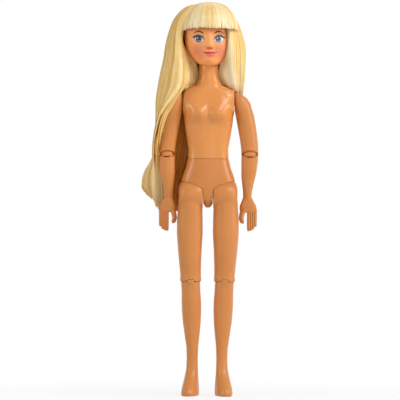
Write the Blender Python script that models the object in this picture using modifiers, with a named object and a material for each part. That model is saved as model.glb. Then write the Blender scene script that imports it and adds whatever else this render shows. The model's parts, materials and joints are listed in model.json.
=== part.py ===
"""A jointed fashion doll, 290 mm tall, standing on flat feet and facing -Y.

Hollow torso and pelvis shells hold the pegs, spool and axle that the limbs turn on. The
limbs are lofts between unlike sections, cut back round each joint so that it can bend.
Lengths are in metres, +Z is up and +X is the doll's left.
"""

import math

import bmesh
import bpy
from mathutils import Matrix, Vector

# Lengths of the body's segments, from which the heights of its joints follow
LOWER_LEG_LENGTH = 0.0840
THIGH_LENGTH = 0.0640
HIP_TO_WAIST = 0.0269
WAIST_TO_SHOULDER = 0.0426
SHOULDER_LINE_RISE = 0.0117
NECK_LENGTH = 0.0145
HEAD_LENGTH = 0.0426
UPPER_ARM_LENGTH = 0.0394
FOREARM_LENGTH = 0.0301
PALM_LENGTH = 0.0130
FINGER_LENGTH = 0.0136

# Clearances and cuts
JOINT_GAP = 0.0003
SEAM_GAP = 0.0003
SOFT_GAP = 0.0006
OVERRUN = 0.0020
SHELL_WALL = 0.0017

# Head
HEAD_HALF_WIDTH = 0.0166
HEAD_HALF_DEPTH = 0.0178
HEAD_TURN_DEG = 3.0
HEAD_CAVITY_RADIUS = 0.0125

# Hair
HAIR_CAP_THICKNESS = 0.0033
HAIR_CAP_EDGE_SHARE = 0.189
FRINGE_EDGE_SHARE = 0.622
FRINGE_THICKNESS = 0.0017
FRINGE_HALF_ANGLE_DEG = 62.0
HAIR_SPLIT = 0.0120
HAIR_LENGTH = 0.1470
BACK_HAIR_LENGTH = 0.1275
LEFT_HAIR_LENGTH = 0.0715
SHOULDER_LOCK_LENGTH = 0.0705
HAIR_FALL_TOP_SHARE = 0.934
HAIR_SWEEP = 0.0494
HAIR_LEFT_REACH = 0.0266
HAIR_DEPTH = 0.0260
SHOULDER_LOCK_TOP_SHARE = 0.177
LOCK_DEPTH = 0.0005

# Neck and torso
NECK_HALF_WIDTH = 0.0072
TORSO_HALF_WIDTH = 0.0190
CHEST_HALF_DEPTH = 0.0100
BUST_RISE = 0.0030
NECK_POST_RADIUS = 0.0030
NECK_KNOB_RADIUS = 0.0062
NECK_KNOB_HEIGHT = 0.0100
NECK_POST_FOOT_RADIUS = 0.0044
NECK_POST_FOOT_HEIGHT = 0.0014
CHEST_CAVITY_RISE = 0.0070
BUST_LOW_SHARE = 0.472

# Waist
WAIST_STEM_RADIUS = 0.0042
WAIST_FLANGE_RADIUS = 0.0060
WAIST_FLANGE_THICKNESS = 0.0015

# Pelvis and hips
PELVIS_HALF_WIDTH = 0.0199
PELVIS_HALF_DEPTH = 0.0110
CROTCH_DROP = 0.0093
HIP_WEB_HALF_WIDTH = 0.0035
HIP_DISC_RADIUS = 0.01175
HIP_DISC_OUTER = 0.0217
HIP_AXLE_RADIUS = 0.0024
HIP_AXLE_HEAD_RADIUS = 0.0034
HIP_AXLE_HEAD_LENGTH = 0.0016
HIP_AXLE_HALF_LENGTH = 0.0120
PELVIS_FLOOR_THICKNESS = 0.0039

# Legs
LEG_SPREAD = 0.0133
THIGH_HALF_WIDTH = 0.0096
THIGH_HALF_DEPTH = 0.0100
CALF_HALF_WIDTH = 0.0072
CALF_HALF_DEPTH = 0.0078
KNEE_BARREL_RADIUS = 0.0046
KNEE_BARREL_HALF_LENGTH = 0.0046
KNEE_TONGUE_WIDTH = 0.0056
KNEE_TONGUE_RADIUS = 0.0036
KNEE_PIN_RADIUS = 0.0011
KNEE_CAP_RISE = 0.0015
KNEE_CAP_DROP = 0.0044
KNEE_CAP_DEPTH = 0.0024
KNEE_ROOT_HALF_DEPTH = 0.0020
KNEE_NOTCH_DEG = 48.0
FOOT_HEIGHT = 0.0200
FOOT_HALF_WIDTH = 0.0063
FOOT_FRONT = 0.0185
FOOT_BACK = 0.0117
TOE_OUT_SHARE = 0.10
TOE_TURN_SHARE = 1.1

# Arms
SHOULDER_PEG_RADIUS = 0.0030
SHOULDER_FLANGE_RADIUS = 0.0046
SHOULDER_FLANGE_THICKNESS = 0.0014
SHOULDER_PEG_REACH = 0.0245
SHOULDER_DOME_RADIUS = 0.0060
UPPER_ARM_HALF_WIDTH = 0.0064
ARM_HALF_DEPTH = 0.0066
ARM_CENTRE = 0.0249
ELBOW_CENTRE = 0.0307
WRIST_CENTRE = 0.0290
WRIST_HALF_WIDTH = 0.0031
ELBOW_BALL_RADIUS = 0.0051
ELBOW_STEM_RADIUS = 0.0019
ELBOW_STEM_LENGTH = 0.0100
ELBOW_STEM_HEAD_RADIUS = 0.0027
ELBOW_STEM_HEAD_LENGTH = 0.0013
ELBOW_TONGUE_RADIUS = 0.0029
ELBOW_TONGUE_WIDTH = 0.0034
ELBOW_NECK_WIDTH = 0.0030
ELBOW_PIN_RADIUS = 0.0008
ELBOW_PIN_HALF_LENGTH = 0.0044
ELBOW_UPPER_NOTCH_DEG = 26.0
ELBOW_LOWER_NOTCH_DEG = 26.0
ELBOW_BEND_DEG = 50.0

# Hands
PALM_CENTRE = 0.0298
PALM_HALF_WIDTH = 0.0063
PALM_HALF_DEPTH = 0.0026
FINGER_PITCH = 0.00160
FINGER_RADIUS = 0.00130
FINGERS_CENTRE = 0.0325
FINGER_CURL = 0.0022
THUMB_CENTRE = 0.0249
THUMB_RADIUS = 0.0018
THUMB_LENGTH = 0.0080
FINGER_DROP_SHARES = (1.0, 0.97, 0.90, 0.76)

# Fineness of the meshes
HEAD_SIDES = 34
BODY_SIDES = 24
LIMB_SIDES = 16
HAIR_SIDES = 24
FINGER_SIDES = 8
TURNED_STEPS = 16
HIP_STEPS = 20
PIN_STEPS = 12

MERGE_DISTANCE = 0.00001

# Rows of a form: height share, then centre, half width, front and back as shares of the
# form's own named width and depth. The last column is how square the section is.
HEAD_SHARES = (
    (0.000, 0.50, 0.70, 0.46, 2.0),
    (0.055, 0.66, 0.80, 0.54, 2.0),
    (0.145, 0.82, 0.85, 0.74, 2.1),
    (0.245, 0.91, 0.88, 0.90, 2.1),
    (0.340, 0.96, 0.89, 1.01, 2.1),
    (0.480, 0.995, 0.88, 1.08, 2.1),
    (0.620, 1.00, 0.88, 1.10, 2.1),
    (0.760, 0.945, 0.82, 1.04, 2.1),
    (0.880, 0.77, 0.64, 0.87, 2.1),
    (0.960, 0.48, 0.38, 0.59, 2.0),
    (1.000, 0.13, 0.05, 0.26, 2.0),
)
# Bumps of the face: sideways and height share, width and height share, rise share
FACE_SHARES = (
    (0.00, 0.455, 0.110, 0.085, 0.085),
    (0.00, 0.360, 0.105, 0.035, 0.150),
    (0.075, 0.345, 0.070, 0.024, 0.050),
    (-0.075, 0.345, 0.070, 0.024, 0.050),
    (0.00, 0.245, 0.250, 0.022, 0.050),
    (0.00, 0.195, 0.200, 0.024, 0.055),
    (0.00, 0.070, 0.260, 0.055, 0.070),
    (0.45, 0.475, 0.240, 0.060, -0.060),
    (-0.45, 0.475, 0.240, 0.060, -0.060),
    (0.50, 0.310, 0.300, 0.110, 0.030),
    (-0.50, 0.310, 0.300, 0.110, 0.030),
)
TORSO_SHARES = (
    (0.000, 0.790, 0.86, 0.82, 2.3),
    (0.130, 0.775, 0.84, 0.80, 2.3),
    (0.280, 0.850, 0.90, 0.86, 2.3),
    (0.465, 0.935, 0.98, 0.93, 2.4),
    (0.600, 0.985, 1.02, 0.98, 2.5),
    (0.680, 1.120, 1.02, 1.00, 2.8),
    (0.760, 1.200, 0.98, 0.99, 3.0),
    (0.855, 1.190, 0.87, 0.91, 3.0),
    (0.920, 1.040, 0.76, 0.81, 2.8),
    (0.968, 0.720, 0.71, 0.74, 2.4),
    (1.000, 0.520, 0.71, 0.73, 2.1),
)
TORSO_TOP_SHARE = 0.79
NECK_SHARES = (
    (0.35, 1.04, 1.00, 1.01, 2.0),
    (1.00, 0.98, 0.96, 0.98, 2.0),
)
# Bumps of the chest: sideways, height share, width share, height share
BUST_SHARES = ((0.40, 0.610, 0.33, 0.130), (-0.40, 0.610, 0.33, 0.130))
BUST_UNDER_SHARE = 0.55
PELVIS_SHARES = (
    (0.000, 0.065, 0.22, 0.26, 2.0),
    (0.025, 0.115, 0.38, 0.44, 2.0),
    (0.065, 0.155, 0.58, 0.68, 2.0),
    (0.120, 0.220, 0.72, 0.86, 2.1),
    (0.180, 0.66, 0.80, 0.98, 2.1),
    (0.270, 0.86, 0.85, 1.10, 2.2),
    (0.400, 0.98, 0.885, 1.17, 2.3),
    (0.545, 1.00, 0.905, 1.13, 2.3),
    (0.660, 0.94, 0.895, 1.02, 2.3),
    (0.810, 0.84, 0.850, 0.87, 2.3),
    (1.000, 0.757, 0.785, 0.75, 2.3),
)
# Rows of a leg: height share, centre share of the spread, then as above
THIGH_SHARES = (
    (0.000, 0.940, 0.790, 0.755, 0.740, 2.2),
    (0.012, 0.940, 0.815, 0.790, 0.770, 2.2),
    (0.035, 0.940, 0.810, 0.790, 0.780, 2.2),
    (0.075, 0.941, 0.790, 0.775, 0.770, 2.2),
    (0.170, 0.962, 0.825, 0.845, 0.830, 2.2),
    (0.360, 0.992, 0.910, 0.920, 0.920, 2.2),
    (0.570, 1.000, 1.000, 0.980, 1.000, 2.2),
    (0.720, 1.000, 0.990, 1.000, 1.050, 2.2),
    (0.850, 0.985, 0.950, 1.060, 1.110, 2.2),
    (0.930, 0.980, 0.925, 1.090, 1.120, 2.2),
    (1.000, 0.975, 0.895, 1.080, 1.100, 2.2),
)
THIGH_TOP_DROP = 0.0010
# Rows of a kneecap: height share, half width share, how far it stands forward
KNEE_CAP_SHARES = (
    (0.00, 0.45, 0.35),
    (0.25, 0.72, 0.80),
    (0.55, 0.92, 1.05),
    (0.80, 1.00, 1.10),
    (1.00, 1.00, 1.00),
)
KNEE_CAP_PLACE_SHARE = 0.68
KNEE_CAP_ROOT_SHARE = 1.3
KNEE_CAP_SQUARENESS = 4.0
LOWER_LEG_SHARES = (
    (0.000, 0.827, 0.600, 0.690, 0.720, 2.1),
    (0.110, 0.820, 0.570, 0.600, 0.630, 2.1),
    (0.250, 0.822, 0.610, 0.610, 0.670, 2.1),
    (0.390, 0.840, 0.770, 0.690, 0.850, 2.1),
    (0.530, 0.860, 0.915, 0.795, 1.050, 2.1),
    (0.660, 0.875, 0.985, 0.860, 1.130, 2.1),
    (0.780, 0.890, 1.000, 0.900, 1.080, 2.1),
    (0.880, 0.910, 0.965, 0.930, 0.960, 2.4),
    (0.960, 0.930, 0.965, 0.940, 0.940, 2.5),
    (1.000, 0.940, 0.970, 0.940, 0.930, 2.5),
)
# Rows of a foot: height share, centre share, half width, front and back shares
FOOT_SHARES = (
    (0.000, 0.915, 0.900, 0.960, 0.930, 2.5),
    (0.040, 0.915, 0.985, 0.995, 0.985, 2.5),
    (0.120, 0.915, 1.000, 1.000, 1.000, 2.5),
    (0.250, 0.910, 0.980, 0.930, 0.990, 2.4),
    (0.420, 0.890, 0.920, 0.745, 0.930, 2.3),
    (0.620, 0.865, 0.840, 0.520, 0.820, 2.2),
    (0.820, 0.845, 0.750, 0.350, 0.700, 2.1),
)
# Rows of an arm: height share, centre share from one joint to the next, then as above
UPPER_ARM_SHARES = (
    (0.000, 1.000, 0.985, 0.945, 0.945, 2.1),
    (0.084, 0.970, 0.990, 0.960, 0.960, 2.1),
    (0.231, 0.860, 1.020, 1.000, 1.000, 2.1),
    (0.430, 0.620, 1.060, 1.060, 1.060, 2.2),
    (0.631, 0.340, 1.070, 1.120, 1.130, 2.2),
    (0.747, 0.130, 1.010, 1.160, 1.180, 2.3),
    (0.848, -0.060, 0.980, 1.150, 1.180, 2.3),
    (0.922, -0.260, 0.810, 1.060, 1.090, 2.3),
    (0.973, -0.500, 0.600, 0.880, 0.910, 2.2),
    (1.000, -0.740, 0.320, 0.600, 0.630, 2.1),
)
UPPER_ARM_TIP_SHARES = (-0.860, 0.130, 0.300, 0.320)
FOREARM_SHARES = (
    (0.000, 1.000, 0.490, 0.500, 0.500, 2.1),
    (0.130, 0.930, 0.530, 0.530, 0.530, 2.1),
    (0.300, 0.800, 0.670, 0.640, 0.640, 2.1),
    (0.480, 0.560, 0.820, 0.770, 0.770, 2.1),
    (0.660, 0.300, 0.905, 0.870, 0.870, 2.1),
    (0.820, 0.120, 0.955, 0.930, 0.930, 2.1),
    (1.000, 0.000, 0.975, 0.935, 0.935, 2.1),
)
PALM_SHARES = (
    (0.000, 0.86, 0.70, 0.70, 2.2),
    (0.070, 0.97, 0.90, 0.90, 2.3),
    (0.250, 1.00, 1.00, 1.00, 2.4),
    (0.420, 0.95, 1.05, 1.05, 2.3),
    (0.620, 0.74, 1.08, 1.08, 2.2),
    (0.850, 0.53, 1.18, 1.18, 2.1),
    (1.000, 0.46, 1.15, 1.15, 2.1),
)
FINGER_SHARES = ((0.00, 0.55), (0.07, 0.90), (0.30, 1.00), (1.00, 1.02))
THUMB_SHARES = (
    (0.00, 0.45, 0.45),
    (0.08, 0.20, 0.90),
    (0.35, -0.15, 1.00),
    (0.70, 0.25, 1.10),
    (1.00, 1.40, 1.10),
)
# Rows of a hair fall: height share, then its two sides, front and back as shares of the
# sweep or the left reach and of the hair's depth.
SHOULDER_LOCK_SHARES = (
    (0.000, -0.776, -0.745, -0.150, 0.000),
    (0.085, -0.780, -0.708, -0.290, 0.000),
    (0.215, -0.780, -0.648, -0.385, 0.000),
    (0.345, -0.788, -0.577, -0.445, 0.000),
    (0.475, -0.790, -0.486, -0.480, 0.000),
    (0.600, -0.780, -0.400, -0.500, 0.000),
    (0.700, -0.755, -0.355, -0.490, 0.000),
    (0.850, -0.705, -0.370, -0.460, -0.010),
    (1.000, -0.675, -0.360, -0.430, -0.020),
)
RIGHT_FALL_SHARES = (
    (0.000, -0.740, -0.560, 0.460, 0.540),
    (0.020, -0.790, -0.460, 0.400, 0.580),
    (0.060, -0.890, -0.360, 0.360, 0.610),
    (0.100, -0.965, -0.280, 0.330, 0.620),
    (0.150, -1.000, -0.220, 0.320, 0.630),
    (0.210, -0.950, -0.180, 0.310, 0.620),
    (0.290, -0.815, -0.150, 0.310, 0.585),
    (0.370, -0.775, -0.120, 0.280, 0.570),
    (0.450, -0.785, -0.100, 0.140, 0.555),
    (0.520, -0.790, -0.080, -0.200, 0.560),
    (0.590, -0.785, -0.060, -0.360, 0.570),
    (0.640, -0.755, -0.040, -0.440, 0.600),
    (0.700, -0.715, -0.020, -0.440, 0.650),
    (0.780, -0.680, 0.000, -0.440, 0.730),
    (0.880, -0.620, 0.000, -0.420, 0.790),
    (0.950, -0.540, 0.000, -0.300, 0.720),
    (1.000, -0.380, 0.000, 0.000, 0.520),
)
BACK_FALL_SHARES = (
    (0.000, -0.340, -0.200, 0.460, 0.560),
    (0.036, -0.360, -0.150, 0.440, 0.590),
    (0.141, -0.360, -0.060, 0.420, 0.590),
    (0.220, -0.360, 0.000, 0.400, 0.585),
    (0.314, -0.360, 0.080, 0.385, 0.585),
    (0.408, -0.360, 0.190, 0.370, 0.590),
    (0.486, -0.360, 0.280, 0.360, 0.625),
    (0.565, -0.360, 0.340, 0.360, 0.670),
    (0.643, -0.360, 0.380, 0.280, 0.730),
    (0.720, -0.360, 0.400, 0.200, 0.840),
    (0.863, -0.360, 0.400, 0.100, 0.945),
    (0.954, -0.340, 0.340, 0.100, 0.880),
    (1.000, -0.260, 0.240, 0.200, 0.660),
)
LEFT_FALL_SHARES = (
    (0.000, 0.550, 0.740, 0.380, 0.520),
    (0.080, 0.400, 0.820, 0.360, 0.550),
    (0.180, 0.300, 0.870, 0.300, 0.570),
    (0.240, 0.200, 0.900, 0.100, 0.590),
    (0.320, 0.100, 0.950, -0.160, 0.645),
    (0.420, 0.000, 0.990, -0.320, 0.700),
    (0.620, 0.000, 1.000, -0.400, 0.790),
    (0.780, 0.000, 0.950, -0.400, 0.790),
    (0.900, 0.000, 0.820, -0.340, 0.720),
    (0.960, 0.000, 0.680, -0.220, 0.620),
    (1.000, 0.000, 0.450, 0.050, 0.420),
)

# Smaller shares, steps and heights that follow from the ones above
SHARP_ANGLE_DEG = 40.0
SIDE_CORNERS = 4
ROW_STEPS = 6
ROW_MARGIN = 0.0010
KNEE_HEIGHT = LOWER_LEG_LENGTH
HIP_HEIGHT = KNEE_HEIGHT + THIGH_LENGTH
WAIST_HEIGHT = HIP_HEIGHT + HIP_TO_WAIST
SHOULDER_HEIGHT = WAIST_HEIGHT + WAIST_TO_SHOULDER
SHOULDER_LINE_HEIGHT = SHOULDER_HEIGHT + SHOULDER_LINE_RISE
NECK_TOP_HEIGHT = SHOULDER_LINE_HEIGHT + NECK_LENGTH
CROWN_HEIGHT = NECK_TOP_HEIGHT + HEAD_LENGTH
ELBOW_HEIGHT = SHOULDER_HEIGHT - UPPER_ARM_LENGTH
WRIST_HEIGHT = ELBOW_HEIGHT - FOREARM_LENGTH
KNUCKLE_HEIGHT = WRIST_HEIGHT - PALM_LENGTH
FINGERTIP_HEIGHT = KNUCKLE_HEIGHT - FINGER_LENGTH
THUMB_TIP_HEIGHT = KNUCKLE_HEIGHT - THUMB_LENGTH
HEAD_HEIGHT = HEAD_LENGTH - JOINT_GAP
HEAD_BOTTOM = NECK_TOP_HEIGHT + JOINT_GAP
HAIR_CAP_EDGE_HEIGHT = HEAD_BOTTOM + HEAD_HEIGHT * HAIR_CAP_EDGE_SHARE
FRINGE_EDGE_HEIGHT = HEAD_BOTTOM + HEAD_HEIGHT * FRINGE_EDGE_SHARE
HAIR_FALL_TOP_HEIGHT = HEAD_BOTTOM + HEAD_HEIGHT * HAIR_FALL_TOP_SHARE
SHOULDER_LOCK_TOP_HEIGHT = HEAD_BOTTOM + HEAD_HEIGHT * SHOULDER_LOCK_TOP_SHARE
CHEST_CAVITY_TOP_HEIGHT = SHOULDER_HEIGHT + CHEST_CAVITY_RISE
BUST_LOW_HEIGHT = WAIST_HEIGHT + WAIST_TO_SHOULDER * BUST_LOW_SHARE
CROTCH_HEIGHT = HIP_HEIGHT - CROTCH_DROP
PELVIS_CAVITY_FLOOR_HEIGHT = (
    HIP_HEIGHT + HIP_DISC_RADIUS + JOINT_GAP + PELVIS_FLOOR_THICKNESS
)
FACE_FRONT_SHARE = 0.6
CAVITY_SHARES = (
    (0.30, 0.55),
    (0.62, 0.86),
    (1.00, 1.00),
    (1.90, 1.00),
    (2.55, 0.82),
    (2.90, 0.45),
)
CAVITY_TOP_SHARE = 3.0
KNOB_FLOOR_SHARE = 0.35
BROW_SHARE = 0.60
FACE_STEPS = 3
BUST_STEPS = 4
FACE_CROWD = 0.42
WINDOW_APEX_SHARE = 0.15
FRINGE_TOP_DROP = 0.0040
FALL_SQUARENESS = 2.6
LOCK_COUNT_SHARE = 0.25
TORSO_BOTTOM = WAIST_HEIGHT + JOINT_GAP / 2
PELVIS_TOP = WAIST_HEIGHT - JOINT_GAP / 2
KNOB_TIP_SHARE = 0.5
HIP_DISC_SHARES = (
    (0.00, 0.78),
    (0.03, 0.87),
    (0.12, 0.93),
    (0.28, 0.97),
    (0.53, 1.00),
    (0.70, 0.965),
    (0.83, 0.89),
    (0.93, 0.76),
    (1.00, 0.45),
)
LEG_OPENING_RISE = 0.0020
LEG_OPENING_STEP = 0.0001
DOME_TIP_SHARE = 0.12
BALL_ARCS = 7
FINGER_FLAT_SHARE = 1.35
WRIST_OVERLAP = 0.0010

# Colours, roughness and metallic value of each material
FINISHES = {
    "skin_vinyl": ((0.80, 0.43, 0.22), 0.42, 0.0),
    "skin_plastic": ((0.80, 0.42, 0.21), 0.36, 0.0),
    "hair_fibre": ((0.86, 0.67, 0.36), 0.38, 0.0),
    "inner_plastic": ((0.78, 0.62, 0.48), 0.45, 0.0),
    "pin_steel": ((0.55, 0.55, 0.56), 0.30, 1.0),
}


def clear_scene():
    for obj in list(bpy.data.objects):
        bpy.data.objects.remove(obj, do_unlink=True)


def new_collection(name, hidden=False):
    collection = bpy.data.collections.new(name)
    collection.hide_render = hidden
    bpy.context.scene.collection.children.link(collection)
    return collection


def new_material(name):
    colour, roughness, metallic = FINISHES[name]
    material = bpy.data.materials.new(name)
    material.use_nodes = True
    shader = material.node_tree.nodes["Principled BSDF"]
    shader.inputs["Base Color"].default_value = (*colour, 1.0)
    shader.inputs["Roughness"].default_value = roughness
    shader.inputs["Metallic"].default_value = metallic
    return material


clear_scene()
PARTS = new_collection("fashion_doll")
CUTTERS = new_collection("cutters", hidden=True)
MATERIALS = {name: new_material(name) for name in FINISHES}


def pivot(name, place, parent=None, turn=0.0):
    """An empty at a joint, given in the doll's own frame. Pieces on that joint hang from it."""
    empty = bpy.data.objects.new(name, None)
    empty.empty_display_size = JOINT_GAP * 10
    PARTS.objects.link(empty)
    empty["place"] = tuple(place)
    empty.parent = parent
    origin = Vector(parent["place"]) if parent else Vector()
    empty.location = Vector(place) - origin
    empty.rotation_euler.z = turn
    return empty


def mesh_object(name, points, faces, home, material=None):
    """A mesh from points in the doll's own frame, hung from the pivot that is its home."""
    origin = Vector(home["place"])
    mesh = bpy.data.meshes.new(name)
    mesh.from_pydata([Vector(p) - origin for p in points], [], faces)
    work = bmesh.new()
    work.from_mesh(mesh)
    sides = [face for face in work.faces if len(face.verts) == SIDE_CORNERS]
    bmesh.ops.triangulate(work, faces=sides)
    bmesh.ops.remove_doubles(work, verts=work.verts, dist=MERGE_DISTANCE)
    bmesh.ops.dissolve_degenerate(work, edges=work.edges, dist=MERGE_DISTANCE)
    bmesh.ops.recalc_face_normals(work, faces=work.faces)
    work.to_mesh(mesh)
    work.free()
    return finished(name, mesh, home, material)


def finished(name, mesh, home, material):
    """The object of a mesh. A piece without a material is a cutter."""
    obj = bpy.data.objects.new(name, mesh)
    obj.parent = home
    if material:
        mesh.materials.append(MATERIALS[material])
        mesh.shade_smooth()
        mesh.set_sharp_from_angle(angle=math.radians(SHARP_ANGLE_DEG))
        PARTS.objects.link(obj)
    else:
        obj.hide_render = True
        obj.display_type = "WIRE"
        CUTTERS.objects.link(obj)
    return obj


def slopes(steps, values):
    """Slopes of a smooth curve through the values that never overshoots them."""
    rises = [
        (v1 - v0) / (s1 - s0)
        for s0, s1, v0, v1 in zip(steps, steps[1:], values, values[1:])
    ]
    inner = [
        0.0 if a * b <= 0 else 2 * a * b / (a + b) for a, b in zip(rises, rises[1:])
    ]
    return [rises[0], *inner, rises[-1]]


def refined(rows, fine):
    """The rows with fine steps between each two, on smooth curves through every column."""
    steps = [row[0] for row in rows]
    columns = [[row[c] for row in rows] for c in range(1, len(rows[0]))]
    bends = [slopes(steps, values) for values in columns]
    found = []
    for i in range(len(rows) - 1):
        span = steps[i + 1] - steps[i]
        for k in range(fine):
            u = k / fine
            row = [steps[i] + u * span]
            for values, bend in zip(columns, bends):
                row.append(
                    (1 + 2 * u) * (1 - u) ** 2 * values[i]
                    + u * (1 - u) ** 2 * span * bend[i]
                    + u * u * (3 - 2 * u) * values[i + 1]
                    + u * u * (u - 1) * span * bend[i + 1]
                )
            found.append(tuple(row))
    found.append(tuple(rows[-1]))
    return found


def row_at(rows, height):
    """The row at a height, between its neighbours."""
    for below, above in zip(rows, rows[1:]):
        if height <= above[0]:
            up = (height - below[0]) / (above[0] - below[0])
            return tuple(a + up * (b - a) for a, b in zip(below, above))
    return rows[-1]


def rows_between(rows, low, high):
    """The part of a form that lies between two heights."""
    fine = refined(rows, ROW_STEPS)
    inside = [row for row in rows if low + ROW_MARGIN < row[0] < high - ROW_MARGIN]
    return [row_at(fine, low), *inside, row_at(fine, high)]


def section(row, sides, grow, crowd):
    """One ring: height, centre x, centre y, half width, front, back and squareness.

    Crowd brings the points of the ring nearer together at its front.
    """
    height, centre, forward, half_width, front, back, square = row
    ring = []
    for i in range(sides):
        angle = 2 * math.pi * i / sides
        angle -= crowd * math.cos(angle)
        across, along = math.cos(angle), math.sin(angle)
        depth = back + grow if along > 0 else front + grow
        ring.append(
            Vector(
                (
                    centre
                    + math.copysign(abs(across) ** (2 / square), across)
                    * (half_width + grow),
                    forward
                    + math.copysign(abs(along) ** (2 / square), along) * depth,
                    height,
                )
            )
        )
    return ring


def loft(rows, sides, fine=1, grow=0.0, foot=None, top=None, crowd=0.0, reshape=None):
    """Points and faces of a closed form through its rows, bottom to top."""
    rows = refined(rows, fine)
    rings = [section(row, sides, grow, crowd) for row in rows]
    for point in rings[0]:
        point.z -= grow if foot is None else foot
    for point in rings[-1]:
        point.z += max(grow, 0.0) if top is None else top
    points = [reshape(p) if reshape else p for ring in rings for p in ring]
    faces = [
        (
            r * sides + i,
            r * sides + (i + 1) % sides,
            (r + 1) * sides + (i + 1) % sides,
            (r + 1) * sides + i,
        )
        for r in range(len(rings) - 1)
        for i in range(sides)
    ]
    faces.append(tuple(range(sides))[::-1])
    faces.append(tuple((len(rings) - 1) * sides + i for i in range(sides)))
    return points, faces


def turned(name, profile, home, material=None, place=None, axis="Z", steps=TURNED_STEPS):
    """A turned solid: (radius, height) from the top of its outline to the bottom."""
    mesh = bpy.data.meshes.new(name)
    mesh.from_pydata(
        [(radius, 0, height) for radius, height in profile],
        [(i, i + 1) for i in range(len(profile) - 1)],
        [],
    )
    obj = finished(name, mesh, home, material)
    obj.location = Vector(place or home["place"]) - Vector(home["place"])
    if axis == "X":
        obj.rotation_euler.y = math.pi / 2
    screw = obj.modifiers.new("turn", "SCREW")
    screw.steps = steps
    screw.render_steps = steps
    screw.use_merge_vertices = True
    screw.merge_threshold = MERGE_DISTANCE
    screw.use_smooth_shade = True
    return obj


def box(name, low, high, home):
    """A box cutter between two corners in the doll's own frame."""
    work = bmesh.new()
    bmesh.ops.create_cube(work, size=1.0)
    size = Vector(high) - Vector(low)
    middle = (Vector(high) + Vector(low)) / 2 - Vector(home["place"])
    bmesh.ops.transform(
        work,
        matrix=Matrix.Translation(middle) @ Matrix.Diagonal((*size, 1.0)),
        verts=work.verts,
    )
    mesh = bpy.data.meshes.new(name)
    work.to_mesh(mesh)
    work.free()
    return finished(name, mesh, home, None)


def ray(degrees):
    """The direction at an angle up from -Y, in a plane across an X axis."""
    return Vector((0, -math.cos(math.radians(degrees)), math.sin(math.radians(degrees))))


def wedge(name, place, half_width, reach, low_deg, high_deg, home, margin=0.0):
    """A cutter that opens from an X axis between two angles, or sweeps a bar through them."""
    start = Vector(place)
    low = start + ray(low_deg - 90) * margin
    high = start + ray(high_deg + 90) * margin
    outline = [
        low,
        low + ray(low_deg) * reach,
        start + ray((low_deg + high_deg) / 2) * reach,
        high + ray(high_deg) * reach,
    ]
    if margin:
        outline.append(high)
    count = len(outline)
    points = [p + Vector((side * half_width, 0, 0)) for side in (-1, 1) for p in outline]
    faces = [tuple(range(count))[::-1], tuple(range(count, 2 * count))]
    faces += [
        (i, (i + 1) % count, (i + 1) % count + count, i + count) for i in range(count)
    ]
    return mesh_object(name, points, faces, home)


def combine(obj, other, operation):
    cut = obj.modifiers.new(other.name, "BOOLEAN")
    cut.operation = operation
    cut.object = other
    return obj


def cut(obj, *cutters):
    for cutter in cutters:
        combine(obj, cutter, "DIFFERENCE")
    return obj


def join(obj, *others):
    for other in others:
        combine(obj, other, "UNION")
    return obj


def mirrored(points, side):
    return [Vector((p.x * side, p.y, p.z)) for p in points]


def heaps(x, z, bumps):
    """The rise of a surface from a few smooth bumps."""
    return sum(
        rise * math.exp(-(((x - cx) / wide) ** 2) - ((z - cz) / high) ** 2)
        for cx, cz, wide, high, rise in bumps
    )


# Head and hair


def head_rows():
    return [
        (
            HEAD_BOTTOM + up * HEAD_HEIGHT,
            0.0,
            0.0,
            wide * HEAD_HALF_WIDTH,
            front * HEAD_HALF_DEPTH,
            back * HEAD_HALF_DEPTH,
            square,
        )
        for up, wide, front, back, square in HEAD_SHARES
    ]


def face_relief(point):
    """Nose, lips, chin, cheeks and eye sockets, raised or sunk on the front of the head."""
    bumps = [
        (
            aside * HEAD_HALF_WIDTH,
            HEAD_BOTTOM + up * HEAD_HEIGHT,
            wide * HEAD_HALF_WIDTH,
            high * HEAD_HEIGHT,
            rise * HEAD_HALF_DEPTH,
        )
        for aside, up, wide, high, rise in FACE_SHARES
    ]
    if point.y < 0:
        facing = min(1.0, -point.y / (FACE_FRONT_SHARE * HEAD_HALF_DEPTH))
        point.y -= facing * heaps(point.x, point.z, bumps)
    return point


def make_head(home):
    brow = HEAD_BOTTOM + HEAD_HEIGHT * BROW_SHARE
    rows = [
        row
        for i, row in enumerate(refined(head_rows(), FACE_STEPS))
        if row[0] < brow or i % FACE_STEPS == 0
    ]
    points, faces = loft(rows, HEAD_SIDES, crowd=FACE_CROWD, reshape=face_relief)
    head = mesh_object("head", points, faces, home, "skin_vinyl")
    mouth = HEAD_BOTTOM - OVERRUN
    floor = HEAD_BOTTOM + NECK_KNOB_HEIGHT * KNOB_FLOOR_SHARE
    hollow = [(0.0, floor + HEAD_CAVITY_RADIUS * CAVITY_TOP_SHARE)]
    hollow += [
        (HEAD_CAVITY_RADIUS * wide, floor + HEAD_CAVITY_RADIUS * up)
        for up, wide in reversed(CAVITY_SHARES)
    ]
    hollow += [
        (NECK_KNOB_RADIUS + JOINT_GAP, floor),
        (NECK_POST_RADIUS + JOINT_GAP, floor),
        (NECK_POST_RADIUS + JOINT_GAP, mouth),
        (0.0, mouth),
    ]
    base = Vector((0, 0, -NECK_TOP_HEIGHT)) + Vector(home["place"])
    return cut(head, turned("head_hollow", hollow, home, place=base))


def domed(rows, grow):
    """The rows of a form that grows outwards, lifted more and more towards the crown."""
    brow = HEAD_BOTTOM + HEAD_HEIGHT * BROW_SHARE
    lifted = []
    for height, *rest in rows:
        up = max(0.0, height - brow) / (CROWN_HEIGHT - brow)
        lifted.append((height + grow * up * up, *rest))
    return lifted


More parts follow.
